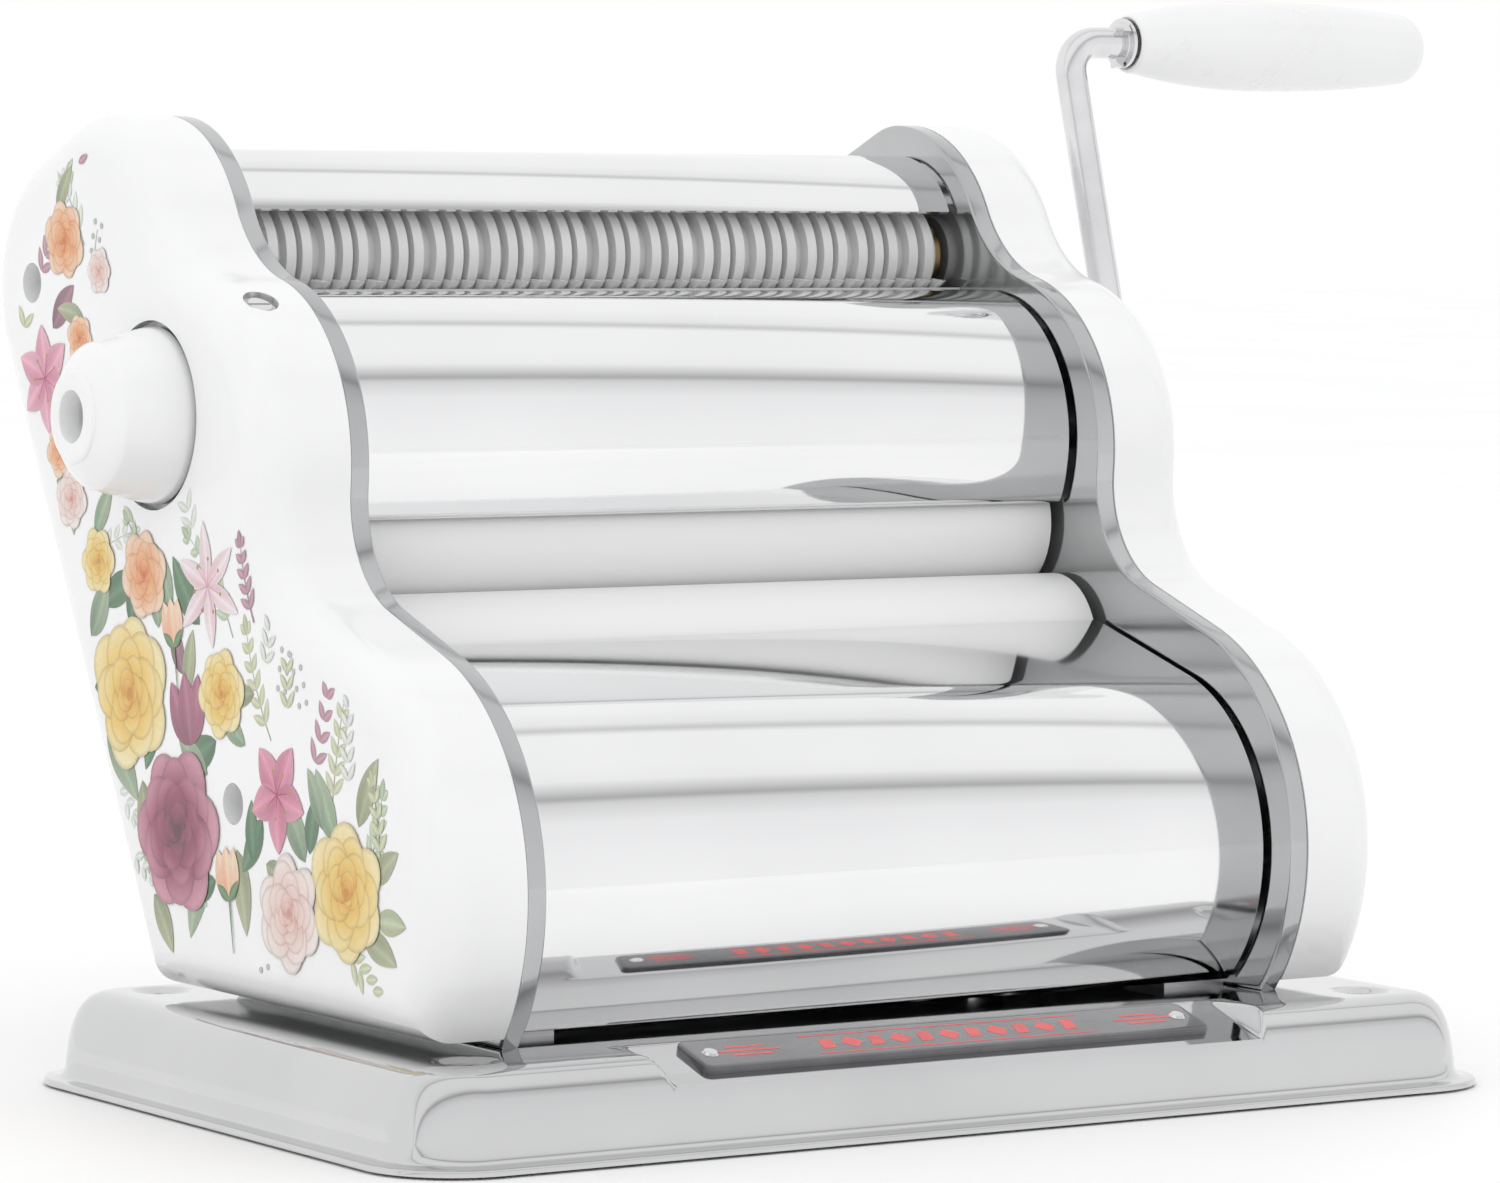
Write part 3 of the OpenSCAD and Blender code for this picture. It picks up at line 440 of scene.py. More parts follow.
def sun(strength, spread):
    li = bpy.data.lights.new("sky", "SUN")
    li.energy = strength
    li.angle = math.radians(spread)
    ob = bpy.data.objects.new("sky", li)
    ob.visible_glossy = False
    bpy.context.scene.collection.objects.link(ob)


world()
sun(0.5, 100)
area("key", (-1.6, -1.4, 1.9), (0, 0, 0.1), 1.6, 5)
area("front", (0.9, -2.2, 1.0), (0, 0, 0.1), 1.4, 3)
area("back", (0.4, 2.2, 1.2), (0, 0, 0.1), 1.6, 2)
area("left", (-2.4, 0.3, 0.7), (0, 0, 0.1), 1.4, 2)

s = Shape()
s.rings([[(x, y, -0.02) for x, y in ((-9000, -9000), (9000, -9000), (9000, 9000),
                                     (-9000, 9000))]], cap0=True)
FLOOR = material("floor_paint", (0.90, 0.90, 0.90), (0.93, 0.93, 0.93), (0.5, 0.6), scale=3,
                 bump=0.01, bump_scale=40)
floor = s.obj("floor", FLOOR)


# ---------------------------------------------------------------- plates and side covers

def plate(side):
    s = Shape()
    r = 0.8
    prof = [(PLATE_IN, r * 1.6), (PLATE_IN, r)]
    prof += [(PLATE_IN + r * (1 - math.cos(t)), r * (1 - math.sin(t)))
             for t in [math.pi / 2 * i / 6 for i in range(1, 7)]]
    prof += [(PLATE_IN + r + (PLATE_T - 2 * r) * 0.5, 0.0)]
    prof += [(PLATE_OUT - r * (1 - math.cos(t)), r * (1 - math.sin(t)))
             for t in [math.pi / 2 * i / 6 for i in range(6, -1, -1)]]
    prof += [(PLATE_OUT, r * 1.6)]
    s.rings([[(side * x, p[0], p[1]) for p in outline(d, TRAY_H)] for x, d in prof],
            True, True, True)
    name = "left_plate_skin" if side < 0 else "right_plate_skin"
    ob = s.obj(name, PLATE)
    x0, x1 = sorted((side * (PLATE_IN - 1), side * (PLATE_OUT + 1)))
    tools = [rod_x(KNOB, 8, x0, x1), rod_x(LOWER, 9, x0, x1), rod_x(CUT1, 8, x0, x1),
             rod_x(CUT2, 8, x0, x1)]
    u, w = unit(56.5), unit(146.5)
    b = Shape()
    corners = [UPPER + a * u + c * w for a, c in ((-10, -10), (13, -10), (13, 10), (-10, 10))]
    b.rings([[(x, p[0], p[1]) for p in corners] for x in (x0, x1)], True, True, True)
    tools.append(b.obj("tool", BLANK))
    cut(ob, tools)
    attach(ob, "frame")
    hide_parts("left_side_plate" if side < 0 else "right_side_plate")
    return ob


plate(-1)
plate(1)


def cover(side):
    s = Shape()
    r, wall = 10.0, 2.3
    prof = [(PLATE_OUT + 0.02, 0.0), (PLATE_OUT + 4, 0.0), (COVER_OUT - r - 3, 0.0)]
    prof += [(COVER_OUT - r + r * math.sin(t), r * (1 - math.cos(t)))
             for t in [math.pi / 2 * i / 14 for i in range(15)]]
    prof += [(COVER_OUT, r + 0.6)]
    inner = [(PLATE_OUT + 0.02, wall), (COVER_OUT - r - 3, wall)]
    ri = r - wall
    inner += [(COVER_OUT - r + ri * math.sin(t), wall + ri * (1 - math.cos(t)))
              for t in [math.pi / 2 * i / 8 for i in range(9)]]
    out_rings = [[(side * x, p[0], p[1]) for p in outline(d, COVER_Z)] for x, d in prof]
    in_rings = [[(side * x, p[0], p[1]) for p in outline(d, COVER_Z)] for x, d in inner]
    s.rings(out_rings[::-1] + in_rings, True, True, True)
    name = "left_cover_shell" if side < 0 else "right_cover_shell"
    ob = s.obj(name, WHITE, 40)
    tools = []
    xs = sorted((side * (COVER_OUT - 9), side * (COVER_OUT + 1)))
    for c in (SCREWS_L if side < 0 else SCREWS_R):
        tools.append(rod_x(c, 4.8, *xs))
    if side < 0:
        tools.append(rod_x(KNOB, 22, -COVER_OUT - 1, -COVER_OUT + 6, 128))
        t = Shape()
        d, e = unit(120), unit(30)
        t.rings([[(-PLATE_OUT - 11.5 + 4.2 * math.cos(a), *(PLUG + h * d + 4.2 * math.sin(a) * e))
                  for a in [2 * math.pi * i / 48 for i in range(48)]] for h in (-0.5, 8)],
                True, True, True)
        tools.append(t.obj("tool", BLANK))
    else:
        tools.append(rod_x(KNOB, 9, COVER_OUT - 6, COVER_OUT + 1, 96))
    cut(ob, tools)
    # cups behind the screw holes, the knob's recess and the plug's seat
    k = Shape()
    for c in (SCREWS_L if side < 0 else SCREWS_R):
        k.lathe_x(c, fillet_profile([(4.8, side * (COVER_OUT - 0.15)),
                                     (4.8, side * (COVER_OUT - 9)),
                                     (2.2, side * (COVER_OUT - 9)),
                                     (2.2, side * (COVER_OUT - 12)),
                                     (6.6, side * (COVER_OUT - 12)),
                                     (6.6, side * (COVER_OUT - 1.6))], 0.4))
    if side < 0:
        k.lathe_x(KNOB, fillet_profile([(22.0, -COVER_OUT + 0.12), (22.0, -COVER_OUT + 3),
                                        (6.0, -COVER_OUT + 3), (6.0, -COVER_OUT + 5),
                                        (24.0, -COVER_OUT + 5), (24.0, -COVER_OUT + 1.2)],
                                       0.5), 128)
        d, e = unit(120), unit(30)
        prof2 = [(4.2, 1.9), (4.2, 0.0), (1.55, 0.0), (1.55, -5.0), (6.0, -5.0), (6.0, 0.9)]
        k.rings([[(-PLATE_OUT - 11.5 + r2 * math.cos(a), *(PLUG + h * d + r2 * math.sin(a) * e))
                  for a in [2 * math.pi * i / 48 for i in range(48)]]
                 for r2, h in fillet_profile(prof2, 0.3)])
    cups = k.obj(("left" if side < 0 else "right") + "_cover_seats", WHITE)
    node = "left_cover" if side < 0 else "right_cover"
    for o in (ob, cups):
        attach(o, "frame")
    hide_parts(node)
    return ob


cover(-1)
cover(1)


# ---------------------------------------------------------------- bent sheet covers

def sheet_piece(name, node, mat, line, x=100.8):
    """line(d) gives the cross-section's points at depth d under the outer face."""
    t = 1.0
    s = Shape()
    o, i = line(0.0), line(t)
    loop = list(o) + list(i)[::-1]
    mid = line(t / 2)
    mid_loop = list(mid) + list(mid)[::-1]
    rings = []
    for xx, k in ((-x, 0.6), (-x + 0.08, 0.2), (-x + 0.3, 0.0), (x - 0.3, 0.0),
                  (x - 0.08, 0.2), (x, 0.6)):
        rings.append([(xx, *(np.asarray(p) * (1 - k) + np.asarray(q) * k))
                      for p, q in zip(loop, mid_loop)])
    s.rings(rings, True, False, False)
    n = len(loop)
    off = (len(rings) - 1) * n
    for j in range(n // 2 - 1):
        face = (j, j + 1, n - 2 - j, n - 1 - j)
        s.f.append(face)
        s.f.append(tuple(q + off for q in face))
    ob = s.obj(name, mat, 30)
    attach(ob, "frame")
    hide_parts(node)
    return ob


TOP_ARC, TOP_ARC_R, BACK_ARC_R = np.array([94.1, 193.9]), 24.9, 24.6
BACK_ARC = reach(reach(TOP_ARC, -20, 19.6), 70, 0.3)
MID_ARC, MID_ARC_R, HEM_A = np.array([55.4, 149.5]), 36.1, 203.3
HEM = reach(MID_ARC, HEM_A, MID_ARC_R - 2.5)
LOW_ARC, LOW_ARC_R, LOW_A = np.array([-18.3, 54.5]), 42.4, 106.3
sheet_piece("top_cover_sheet", "top_cover", CHROME, lambda d: (
    arc(TOP_ARC, TOP_ARC_R - d, 154, 70, 56) + arc(BACK_ARC, BACK_ARC_R - d, 70, -4, 48)))
sheet_piece("mid_cover_sheet", "mid_cover", CHROME, lambda d: (
    arc(MID_ARC, MID_ARC_R - d, 76.6, HEM_A, 84) + arc(HEM, 2.5 - d, HEM_A + 5, 270, 12)))
sheet_piece("lower_cover_sheet", "lower_cover", CHROME, lambda d: (
    [reach(reach(LOW_ARC, LOW_A, LOW_ARC_R - d), 16.3, 38.2 * t) for t in
     (1.0, 0.98, 0.75, 0.5, 0.25, 0.04)] + arc(LOW_ARC, LOW_ARC_R - d, LOW_A, 226.5, 80)))


# ---------------------------------------------------------------- tray

def smooth(a, b, x):
    t = min(1.0, max(0.0, (x - a) / (b - a)))
    return t * t * (3 - 2 * t)


def tray():
    half_l, half_w, corner = 149.5, 95.0, 22.0
    prof = [(0.0, 0.6), (0.0, 1.5), (0.25, 1.85), (0.8, 2.0), (2.2, 2.05), (3.6, 2.25),
            (4.5, 2.9), (5.05, 4.2), (5.3, 6.5), (5.7, 9.5), (6.1, 12.0), (6.6, 14.0),
            (7.2, 15.8), (8.0, 17.4), (9.0, 18.9), (10.3, 20.2), (11.8, 21.1), (13.4, 21.65),
            (15.2, 21.93), (17.0, 22.0)]
    prof += [(17.0 + 0.6 * i, 22.0) for i in range(1, 24)]
    prof += [(31.5 + 3.0 * i, 22.0) for i in range(22)]
    under = [(1.3, 0.6), (1.5, 0.9), (4.6, 1.2), (6.3, 3.0), (6.9, 8.0), (7.6, 12.5),
             (9.4, 16.5), (12.5, 19.6), (16.5, 20.6)] + [(q, 20.8) for q in
                                                         range(20, 94, 3)]
    xs = ([127.5 - 1.35 * i for i in range(1, 30)] + [88.0 - 0.5 * i for i in range(33)]
          + [72.0 - 3.0 * i for i in range(1, 24)])
    xs = xs + [0.0] + [-x for x in reversed(xs)]
    slope = math.tan(math.radians(17.0))

    def pocket(x, y, z):
        depth = max(0.0, -slope * (y + 66.0))
        k = 1 - smooth(79.5, 84.5, abs(x))
        low = 22.0 - depth * k
        if y > -66 or low >= z:
            return z
        t = 0.8
        h = max(0.0, min(1.0, 0.5 + 0.5 * (z - low) / t))
        return z * (1 - h) + low * h - t * h * (1 - h) * 0.5

    def dimple(x, y, z):
        r = math.hypot(abs(x) - TABLE_X, abs(y) - TABLE_Y)
        return z - 1.6 * (1 - smooth(3.4, 7.4, r)) if r < 8 else z

    def ring(q, z, n_w, n_c, under_side):
        r = max(corner - q, 0.001)
        hx, hy = half_l - q, half_w - q
        r = min(r, hx, hy)
        pts = []
        for cx, cy, a0 in ((hx - r, -hy + r, -90), (hx - r, hy - r, 0),
                           (-hx + r, hy - r, 90), (-hx + r, -hy + r, 180)):
            for i in range(n_c + 1):
                a = math.radians(a0 + 90 * i / n_c)
                pts.append((cx + r * math.cos(a), cy + r * math.sin(a)))
            nxt = {-90: (hx, hy - r), 0: (-hx + r, hy), 90: (-hx, -hy + r),
                   180: (hx - r, -hy)}[a0]
            p = pts[-1]
            if a0 in (0, 180):
                k = (hx - r) / 127.5
                pts += [((x if a0 == 0 else -x) * k, p[1]) for x in xs]
                continue
            n = n_w
            for i in range(1, n):
                t = i / n
                pts.append((p[0] + (nxt[0] - p[0]) * t, p[1] + (nxt[1] - p[1]) * t))
        out = []
        for x, y in pts:
            zz = z
            if not under_side:
                zz = dimple(x, y, pocket(x, y, z)) if q > 4 else z
            else:
                zz = pocket(x, y, z + 1.2) - 1.2 if q > 5 else z
            out.append((x, y, zz))
        return out

    s = Shape()
    top = [ring(q, z, 110, 14, False) for q, z in prof]
    low = [ring(q, z, 110, 14, True) for q, z in under]
    s.rings(low[::-1] + top, True, True, True)
    ob = s.obj("tray_shell", CHROME_TRAY, 50)
    bm = bmesh.new()
    bm.from_mesh(ob.data)
    gone = []
    for v in bm.verts:
        x, y = abs(v.co.x) / MM - TABLE_X, abs(v.co.y) / MM - TABLE_Y
        r = math.hypot(x, y)
        if 1.9 < r < 3.7 and v.co.z > 0.019:
            k = TABLE_HOLE_R / r
            v.co.x = math.copysign((TABLE_X + x * k) * MM, v.co.x)
            v.co.y = math.copysign((TABLE_Y + y * k) * MM, v.co.y)
    for f in bm.faces:
        c = f.calc_center_median()
        if c.z > 0.019 and len(f.verts) < 5 and math.hypot(
                abs(c.x) / MM - TABLE_X, abs(c.y) / MM - TABLE_Y) < 2.5:
            gone.append(f)
    bmesh.ops.delete(bm, geom=gone, context="FACES")
    bm.to_mesh(ob.data)
    bm.free()
    cups = Shape()
    for sx in (-1, 1):
        for sy in (-1, 1):
            cups.rings([[(sx * TABLE_X + r * math.cos(t), sy * TABLE_Y + r * math.sin(t), z)
                         for t in [2 * math.pi * i / 32 for i in range(32)]]
                        for r, z in ((2.95, 20.42), (2.75, 20.3), (2.75, 9.0))])
    cup = cups.obj("screw_hole_liners", DULL)
    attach(cup, "frame")
    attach(ob, "frame")
    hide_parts("base_tray")


tray()


# ---------------------------------------------------------------- knob and grip

def knob():
    x1 = -COVER_OUT + 3 - 1.7
    nose = -151.0
    t1 = x1 - nose

    def rad(t):
        if t < 16:
            return 21.0 - 0.24 * t
        return 9.2 + 7.96 * (1 - ((t - 16) / (t1 - 16)) ** 1.5)

    prof = [(4.05, x1), (20.0, x1), (20.55, x1 - 0.25), (rad(0.8), x1 - 0.8)]
    prof += [(rad(t), x1 - t) for t in (3.0, 6.0, 9.0, 12.0, 14.5)]
    prof += [(rad(t), x1 - t) for t in [15.4 + (t1 - 1.0 - 15.4) * i / 24 for i in range(25)]]
    r1 = rad(t1 - 1.0)
    prof += [(r1 - 1.7 * (1 - math.cos(t)), nose + 1.0 - 0.98 * math.sin(t))
             for t in [math.pi / 2 * i / 6 for i in range(1, 7)]]
    prof += [(6.5, nose + 0.04), (6.15, nose + 0.2), (6.0, nose + 0.6), (6.0, x1 - 7.6),
             (4.05, x1 - 7.6)]
    s = Shape()
    s.lathe_x(KNOB, prof + [prof[0]], 128)
    ob = s.obj("knob_body", WHITE, 40)
    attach(ob, "knob")
    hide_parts("knob")


def grip():
    x0, x1 = 167.0, 261.0
    prof = [(4.1, x1 - 7), (4.1, x0 + 5), (5.6, x0 + 5.0), (5.9, x0 + 1.2), (6.3, x0 + 0.3),
            (6.9, x0 + 0.05), (7.4, x0 + 0.4), (7.7, x0 + 1.2)]
    a = 11.76
    n = 40
    for i in range(n + 1):
        t = i / n
        x = x0 + 2.0 + (x1 - 4.5 - x0 - 2.0) * t
        r = a - 4.1 * max(0.0, (0.44 - t) / 0.44) ** 2.0 - 2.6 * max(0.0, (t - 0.44) / 0.56) ** 2.2
        prof.append((r, x))
    re, xe = prof[-1]
    for i in range(1, 11):
        t = math.pi / 2 * i / 10
        prof.append((re - 3.4 + 3.4 * math.cos(t) - 1.2 * math.sin(t), xe + 4.4 * math.sin(t)))
    prof.append((0.02, x1 - 0.02))
    s = Shape()
    s.lathe_x(GRIP, prof, 96, True, True)
    ob = s.obj("grip_body", WHITE_GRIP, 40)
    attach(ob, "handle")
    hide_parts("grip")


knob()
grip()


# ---------------------------------------------------------------- badge

def badge():
    a = math.radians(17.0)

    def place(x, v, h):
        # v runs up the slope, h stands off it
        y0 = -10.5 + v
        return (x, -66.0 + y0 * math.cos(a) - h * math.sin(a),
                22.0 + y0 * math.sin(a) + h * math.cos(a))

    def rounded(hx, hy, r, n=8):
        pts = []
        for cx, cy, a0 in ((hx - r, -hy + r, -90), (hx - r, hy - r, 0), (-hx + r, hy - r, 90),
                           (-hx + r, -hy + r, 180)):
            pts += [(cx + r * math.cos(math.radians(a0 + 90 * i / n)),
                     cy + r * math.sin(math.radians(a0 + 90 * i / n))) for i in range(n + 1)]
        return pts

    s = Shape()
    rings = []
    for q, h in ((0.0, 0.02), (0.0, 1.0), (0.12, 1.3), (0.4, 1.52), (0.8, 1.6), (1.6, 1.62)):
        rings.append([place(x, v, h) for x, v in rounded(69 - q, 7.4 - q, max(2.4 - q, 0.6))])
    s.rings(rings, True, True, True)
    ob = s.obj("badge_lens_body", LENS, 40)
    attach(ob, "frame")
    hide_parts("badge")

    # red marks: a row of plain lozenges and bars, framed by two thin rules
    m = Shape()

    def mark(pts, h=1.66, t=0.04):
        m.rings([[place(x, v, h - t) for x, v in pts], [place(x, v, h) for x, v in pts]],
                True, False, True)

    for i in range(-5, 6):
        x = i * 6.6
        if i % 2:
            mark([(x - 2.2, -2.4), (x + 1.2, -2.4), (x + 2.2, 2.4), (x - 1.2, 2.4)])
        else:
            mark([(x - 2.9, 0), (x, -2.9), (x + 2.9, 0), (x, 2.9)])
    for sx in (-1, 1):
        for v in (-2.0, 0.0, 2.0):
            c = sx * 54.0
            w = 8.0 - 1.4 * abs(v)
            mark([(c - w, v - 0.42), (c + w, v - 0.42), (c + w, v + 0.42), (c - w, v + 0.42)])
    for v in (-4.6, 4.6):
        mark([(-38, v - 0.25), (38, v - 0.25), (38, v + 0.25), (-38, v + 0.25)])
    ob = m.obj("badge_marks", RED)
    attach(ob, "frame")


badge()


# ---------------------------------------------------------------- printed flowers

class Print:
    """Flat coloured shapes printed on the left cover's outer face, in Y-Z millimetres."""

    def __init__(self):
        self.v, self.f, self.c = [], [], []
        self.rng = random.Random(11)
        self.layer = 0

    def x(self):
        return -(COVER_OUT + 0.03 + 0.0004 * self.layer)

    def clear(self, pts):
        for p in pts:
            if np.linalg.norm(np.asarray(p) - KNOB) < 22.6:
                return False
            if any(math.hypot(p[0] - c[0], p[1] - c[1]) < 5.2 for c in SCREWS_L):
                return False
            if not INSIDE(p):
                return False
        return True

    def grid(self, rows, cols):
        """rows of points with a colour each: [[(y, z), ...], ...], [[(r, g, b), ...], ...]"""
        if not self.clear([p for r in rows for p in r]):
            return False
        base, n = len(self.v), len(rows[0])
        x = self.x()
        for r, c in zip(rows, cols):
            for p, q in zip(r, c):
                self.v.append((x, p[0], p[1]))
                self.c.append(q)
        for i in range(len(rows) - 1):
            for j in range(n - 1):
                a = base + i * n + j
                self.f.append((a, a + 1, a + n + 1, a + n))
        return True

    def disc(self, c, r, shade, n=18, rings=4, squash=1.0, turn=0.0):
        """A round lobe; shade(u, t) gives the colour at radius share u and angle t."""
        rows, cols = [], []
        ct, st = math.cos(turn), math.sin(turn)
        for i in range(rings + 1):
            u = max(i / rings, 0.02)
            row, col = [], []
            for j in range(n + 1):
                t = 2 * math.pi * j / n
                a, b = r * u * math.cos(t), r * u * math.sin(t) * squash
                row.append((c[0] + a * ct - b * st, c[1] + a * st + b * ct))
                col.append(shade(u, t))
            rows.append(row)
            cols.append(col)
        return self.grid(rows, cols)

    def leaf(self, base, ang, length, width, c0, c1, bend=0.0, tip=1.0):
        self.layer += 1
        rows, cols = [], []
        n = 10
        a = math.radians(ang)
        for i in range(n + 1):
            t = i / n
            aa = a + bend * t
            cx = base[0] + length * t * math.cos(a + bend * t * 0.5)
            cy = base[1] + length * t * math.sin(a + bend * t * 0.5)
            w = width * (math.sin(math.pi * t ** 0.85)) ** 0.85 * 0.5 if 0 < t < 1 else 0.01
            row, col = [], []
            for s2 in (-1, -0.5, -0.04, 0.04, 0.5, 1):
                row.append((cx - math.sin(aa) * w * s2, cy + math.cos(aa) * w * s2))
                m = min(1.0, 0.25 + 0.5 * t + 0.25 * abs(s2) + (0.12 if s2 > 0 else -0.08))
                k = [c0[q] * (1 - m) + c1[q] * m for q in range(3)]
                if abs(s2) < 0.1:
                    k = [min(1.0, q * 1.25 + 0.05) for q in k]
                col.append(tuple(k))
            rows.append(row)
            cols.append(col)
        return self.grid(rows, cols)

    def stem(self, p, ang, length, width, c, bend=0.0):
        self.layer += 1
        rows, cols = [], []
        a = math.radians(ang)
        end = None
        for i in range(9):
            t = i / 8
            x = p[0] + length * t * math.cos(a + bend * t * 0.5)
            y = p[1] + length * t * math.sin(a + bend * t * 0.5)
            w = width * (1 - 0.6 * t) / 2
            aa = a + bend * t
            rows.append([(x - math.sin(aa) * w, y + math.cos(aa) * w),
                         (x + math.sin(aa) * w, y - math.cos(aa) * w)])
            cols.append([c, c])
            end = (x, y, math.degrees(aa))
        self.grid(rows, cols)
        return end

    def sprig(self, p, ang, length, c, n=5, leaf_l=5.0, leaf_w=2.0, bend=0.0, berries=False):
        self.stem(p, ang, length, 0.5, tuple(q * 0.9 for q in c), bend)
        a = math.radians(ang)
        for i in range(1, n + 1):
            t = i / n
            x = p[0] + length * t * math.cos(a + bend * t * 0.5)
            y = p[1] + length * t * math.sin(a + bend * t * 0.5)
            d = math.degrees(a + bend * t)
            for s2 in (-1, 1):
                if berries:
                    q = (x + 2.2 * math.cos(math.radians(d + s2 * 50)),
                         y + 2.2 * math.sin(math.radians(d + s2 * 50)))
                    self.layer += 1
                    self.disc(q, 0.75, lambda u, t2: tuple(v * (1 - 0.15 * u) for v in c),
                              10, 2)
                else:
                    self.leaf((x, y), d + s2 * 42, leaf_l * (1.1 - 0.5 * t), leaf_w, c,
                              tuple(min(1, v * 1.2 + 0.06) for v in c))
        if not berries:
            e = (p[0] + length * math.cos(a + bend * 0.5), p[1] + length * math.sin(a + bend * 0.5))
            self.leaf(e, math.degrees(a + bend), leaf_l * 0.8, leaf_w, c, c)

    def rose(self, c, r, deep, mid, light, turn=0.0, squash=0.92):
        rng = self.rng
        mixc = lambda a, b, t: tuple(a[i] * (1 - t) + b[i] * t for i in range(3))
        for ring, (rr, count, size) in enumerate(
                ((0.60, 6, 0.46), (0.50, 6, 0.42), (0.37, 5, 0.37), (0.24, 5, 0.30),
                 (0.13, 4, 0.22), (0.05, 3, 0.15))):
            start = turn + ring * 0.55 + rng.uniform(-0.2, 0.2)
            for k in range(count):
                a = start + 2 * math.pi * k / count + rng.uniform(-0.12, 0.12)
                d = r * rr * rng.uniform(0.94, 1.05)
                p = (c[0] + d * math.cos(a), c[1] + d * math.sin(a) * squash)
                q = r * size * rng.uniform(0.94, 1.06)
                tone = rng.uniform(-0.06, 0.06) - 0.05 * ring

                def shade(u, t, a=a, tone=tone, ring=ring):
                    # light along the outer rim, deep towards the middle of the flower
                    out = 0.5 + 0.5 * math.cos(t) * u
                    k2 = max(0.0, min(1.0, 0.12 + 0.95 * out + tone - 0.07 * ring))
                    col = mixc(deep, mid, min(1, k2 * 1.8)) if k2 < 0.55 else mixc(
                        mid, light, (k2 - 0.55) / 0.45)
                    edge = 0.70 if u > 0.97 else 1.0
                    return tuple(v * edge for v in col)
                self.layer += 1
                self.disc(p, q, shade, 22, 6, rng.uniform(0.86, 1.0), a)
        self.layer += 1
        self.disc(c, r * 0.07, lambda u, t: mixc(deep, (0, 0, 0), 0.2), 12, 2)

    def bloom(self, c, r, n, deep, light, width=0.5, turn=0.0, core=(0.45, 0.3, 0.05)):
        for k in range(n):
            a = turn + 360 * k / n
            self.leaf(c, a, r * (1 + 0.08 * math.sin(3 * k)), r * width, deep, light)
        for k in range(7):
            e = self.stem(c, turn + 20 + 51 * k, r * 0.42, 0.4, deep)
            self.layer += 1
            self.disc(e[:2], 0.5, lambda u, t: core, 8, 2)

    def bud(self, c, r, ang, deep, light, green=(0.12, 0.25, 0.10)):
        self.stem(c, ang + 180, r * 2.0, 0.7, green)
        for d in (-24, 24, 0):
            self.leaf(c, ang + d, r * 2.1, r * 1.15, deep, light, -0.01 * d)
        for d in (-50, 50):
            self.leaf(c, ang + d, r * 1.1, r * 0.45, green, green)

    def obj(self, name):
        me = bpy.data.meshes.new(name)
        me.from_pydata([tuple(q * MM for q in v) for v in self.v], [], self.f)
        at = me.color_attributes.new("ink", "FLOAT_COLOR", "POINT")
        at.data.foreach_set("color", np.array([(*c, 1.0) for c in self.c],
                                              dtype=np.float32).ravel())
        bm = bmesh.new()
        bm.from_mesh(me)
        bm.normal_update()
        back = [f for f in bm.faces if f.normal.x > 0]
        bmesh.ops.reverse_faces(bm, faces=back)
        bm.to_mesh(me)
        bm.free()
        ob = bpy.data.objects.new(name, me)
        bpy.context.scene.collection.objects.link(ob)
        me.materials.append(PRINT)
        return ob


_EDGE = outline(8.6, COVER_Z, 6.0)


def INSIDE(p):
    x, y = p[0], p[1]
    a, b = _EDGE, np.roll(_EDGE, -1, axis=0)
    crosses = ((a[:, 1] > y) != (b[:, 1] > y)) & (
        x < (b[:, 0] - a[:, 0]) * (y - a[:, 1]) / (b[:, 1] - a[:, 1] + 1e-12) + a[:, 0])
    return bool(crosses.sum() % 2)


GREEN_D, GREEN, GREEN_L = (0.035, 0.12, 0.06), (0.13, 0.26, 0.13), (0.42, 0.52, 0.36)
OLIVE, OLIVE_L = (0.16, 0.20, 0.09), (0.50, 0.53, 0.34)
PLUM, PLUM_L = (0.14, 0.03, 0.07), (0.42, 0.22, 0.28)
MIST = (0.62, 0.66, 0.60)
YEL = ((0.80, 0.36, 0.03), (0.95, 0.66, 0.16), (1.0, 0.88, 0.50))
ORA = ((0.80, 0.22, 0.05), (0.95, 0.47, 0.22), (1.0, 0.76, 0.58))
BUR = ((0.13, 0.01, 0.04), (0.36, 0.06, 0.14), (0.70, 0.33, 0.42))
PAL = ((0.80, 0.42, 0.36), (0.94, 0.72, 0.66), (1.0, 0.92, 0.88))


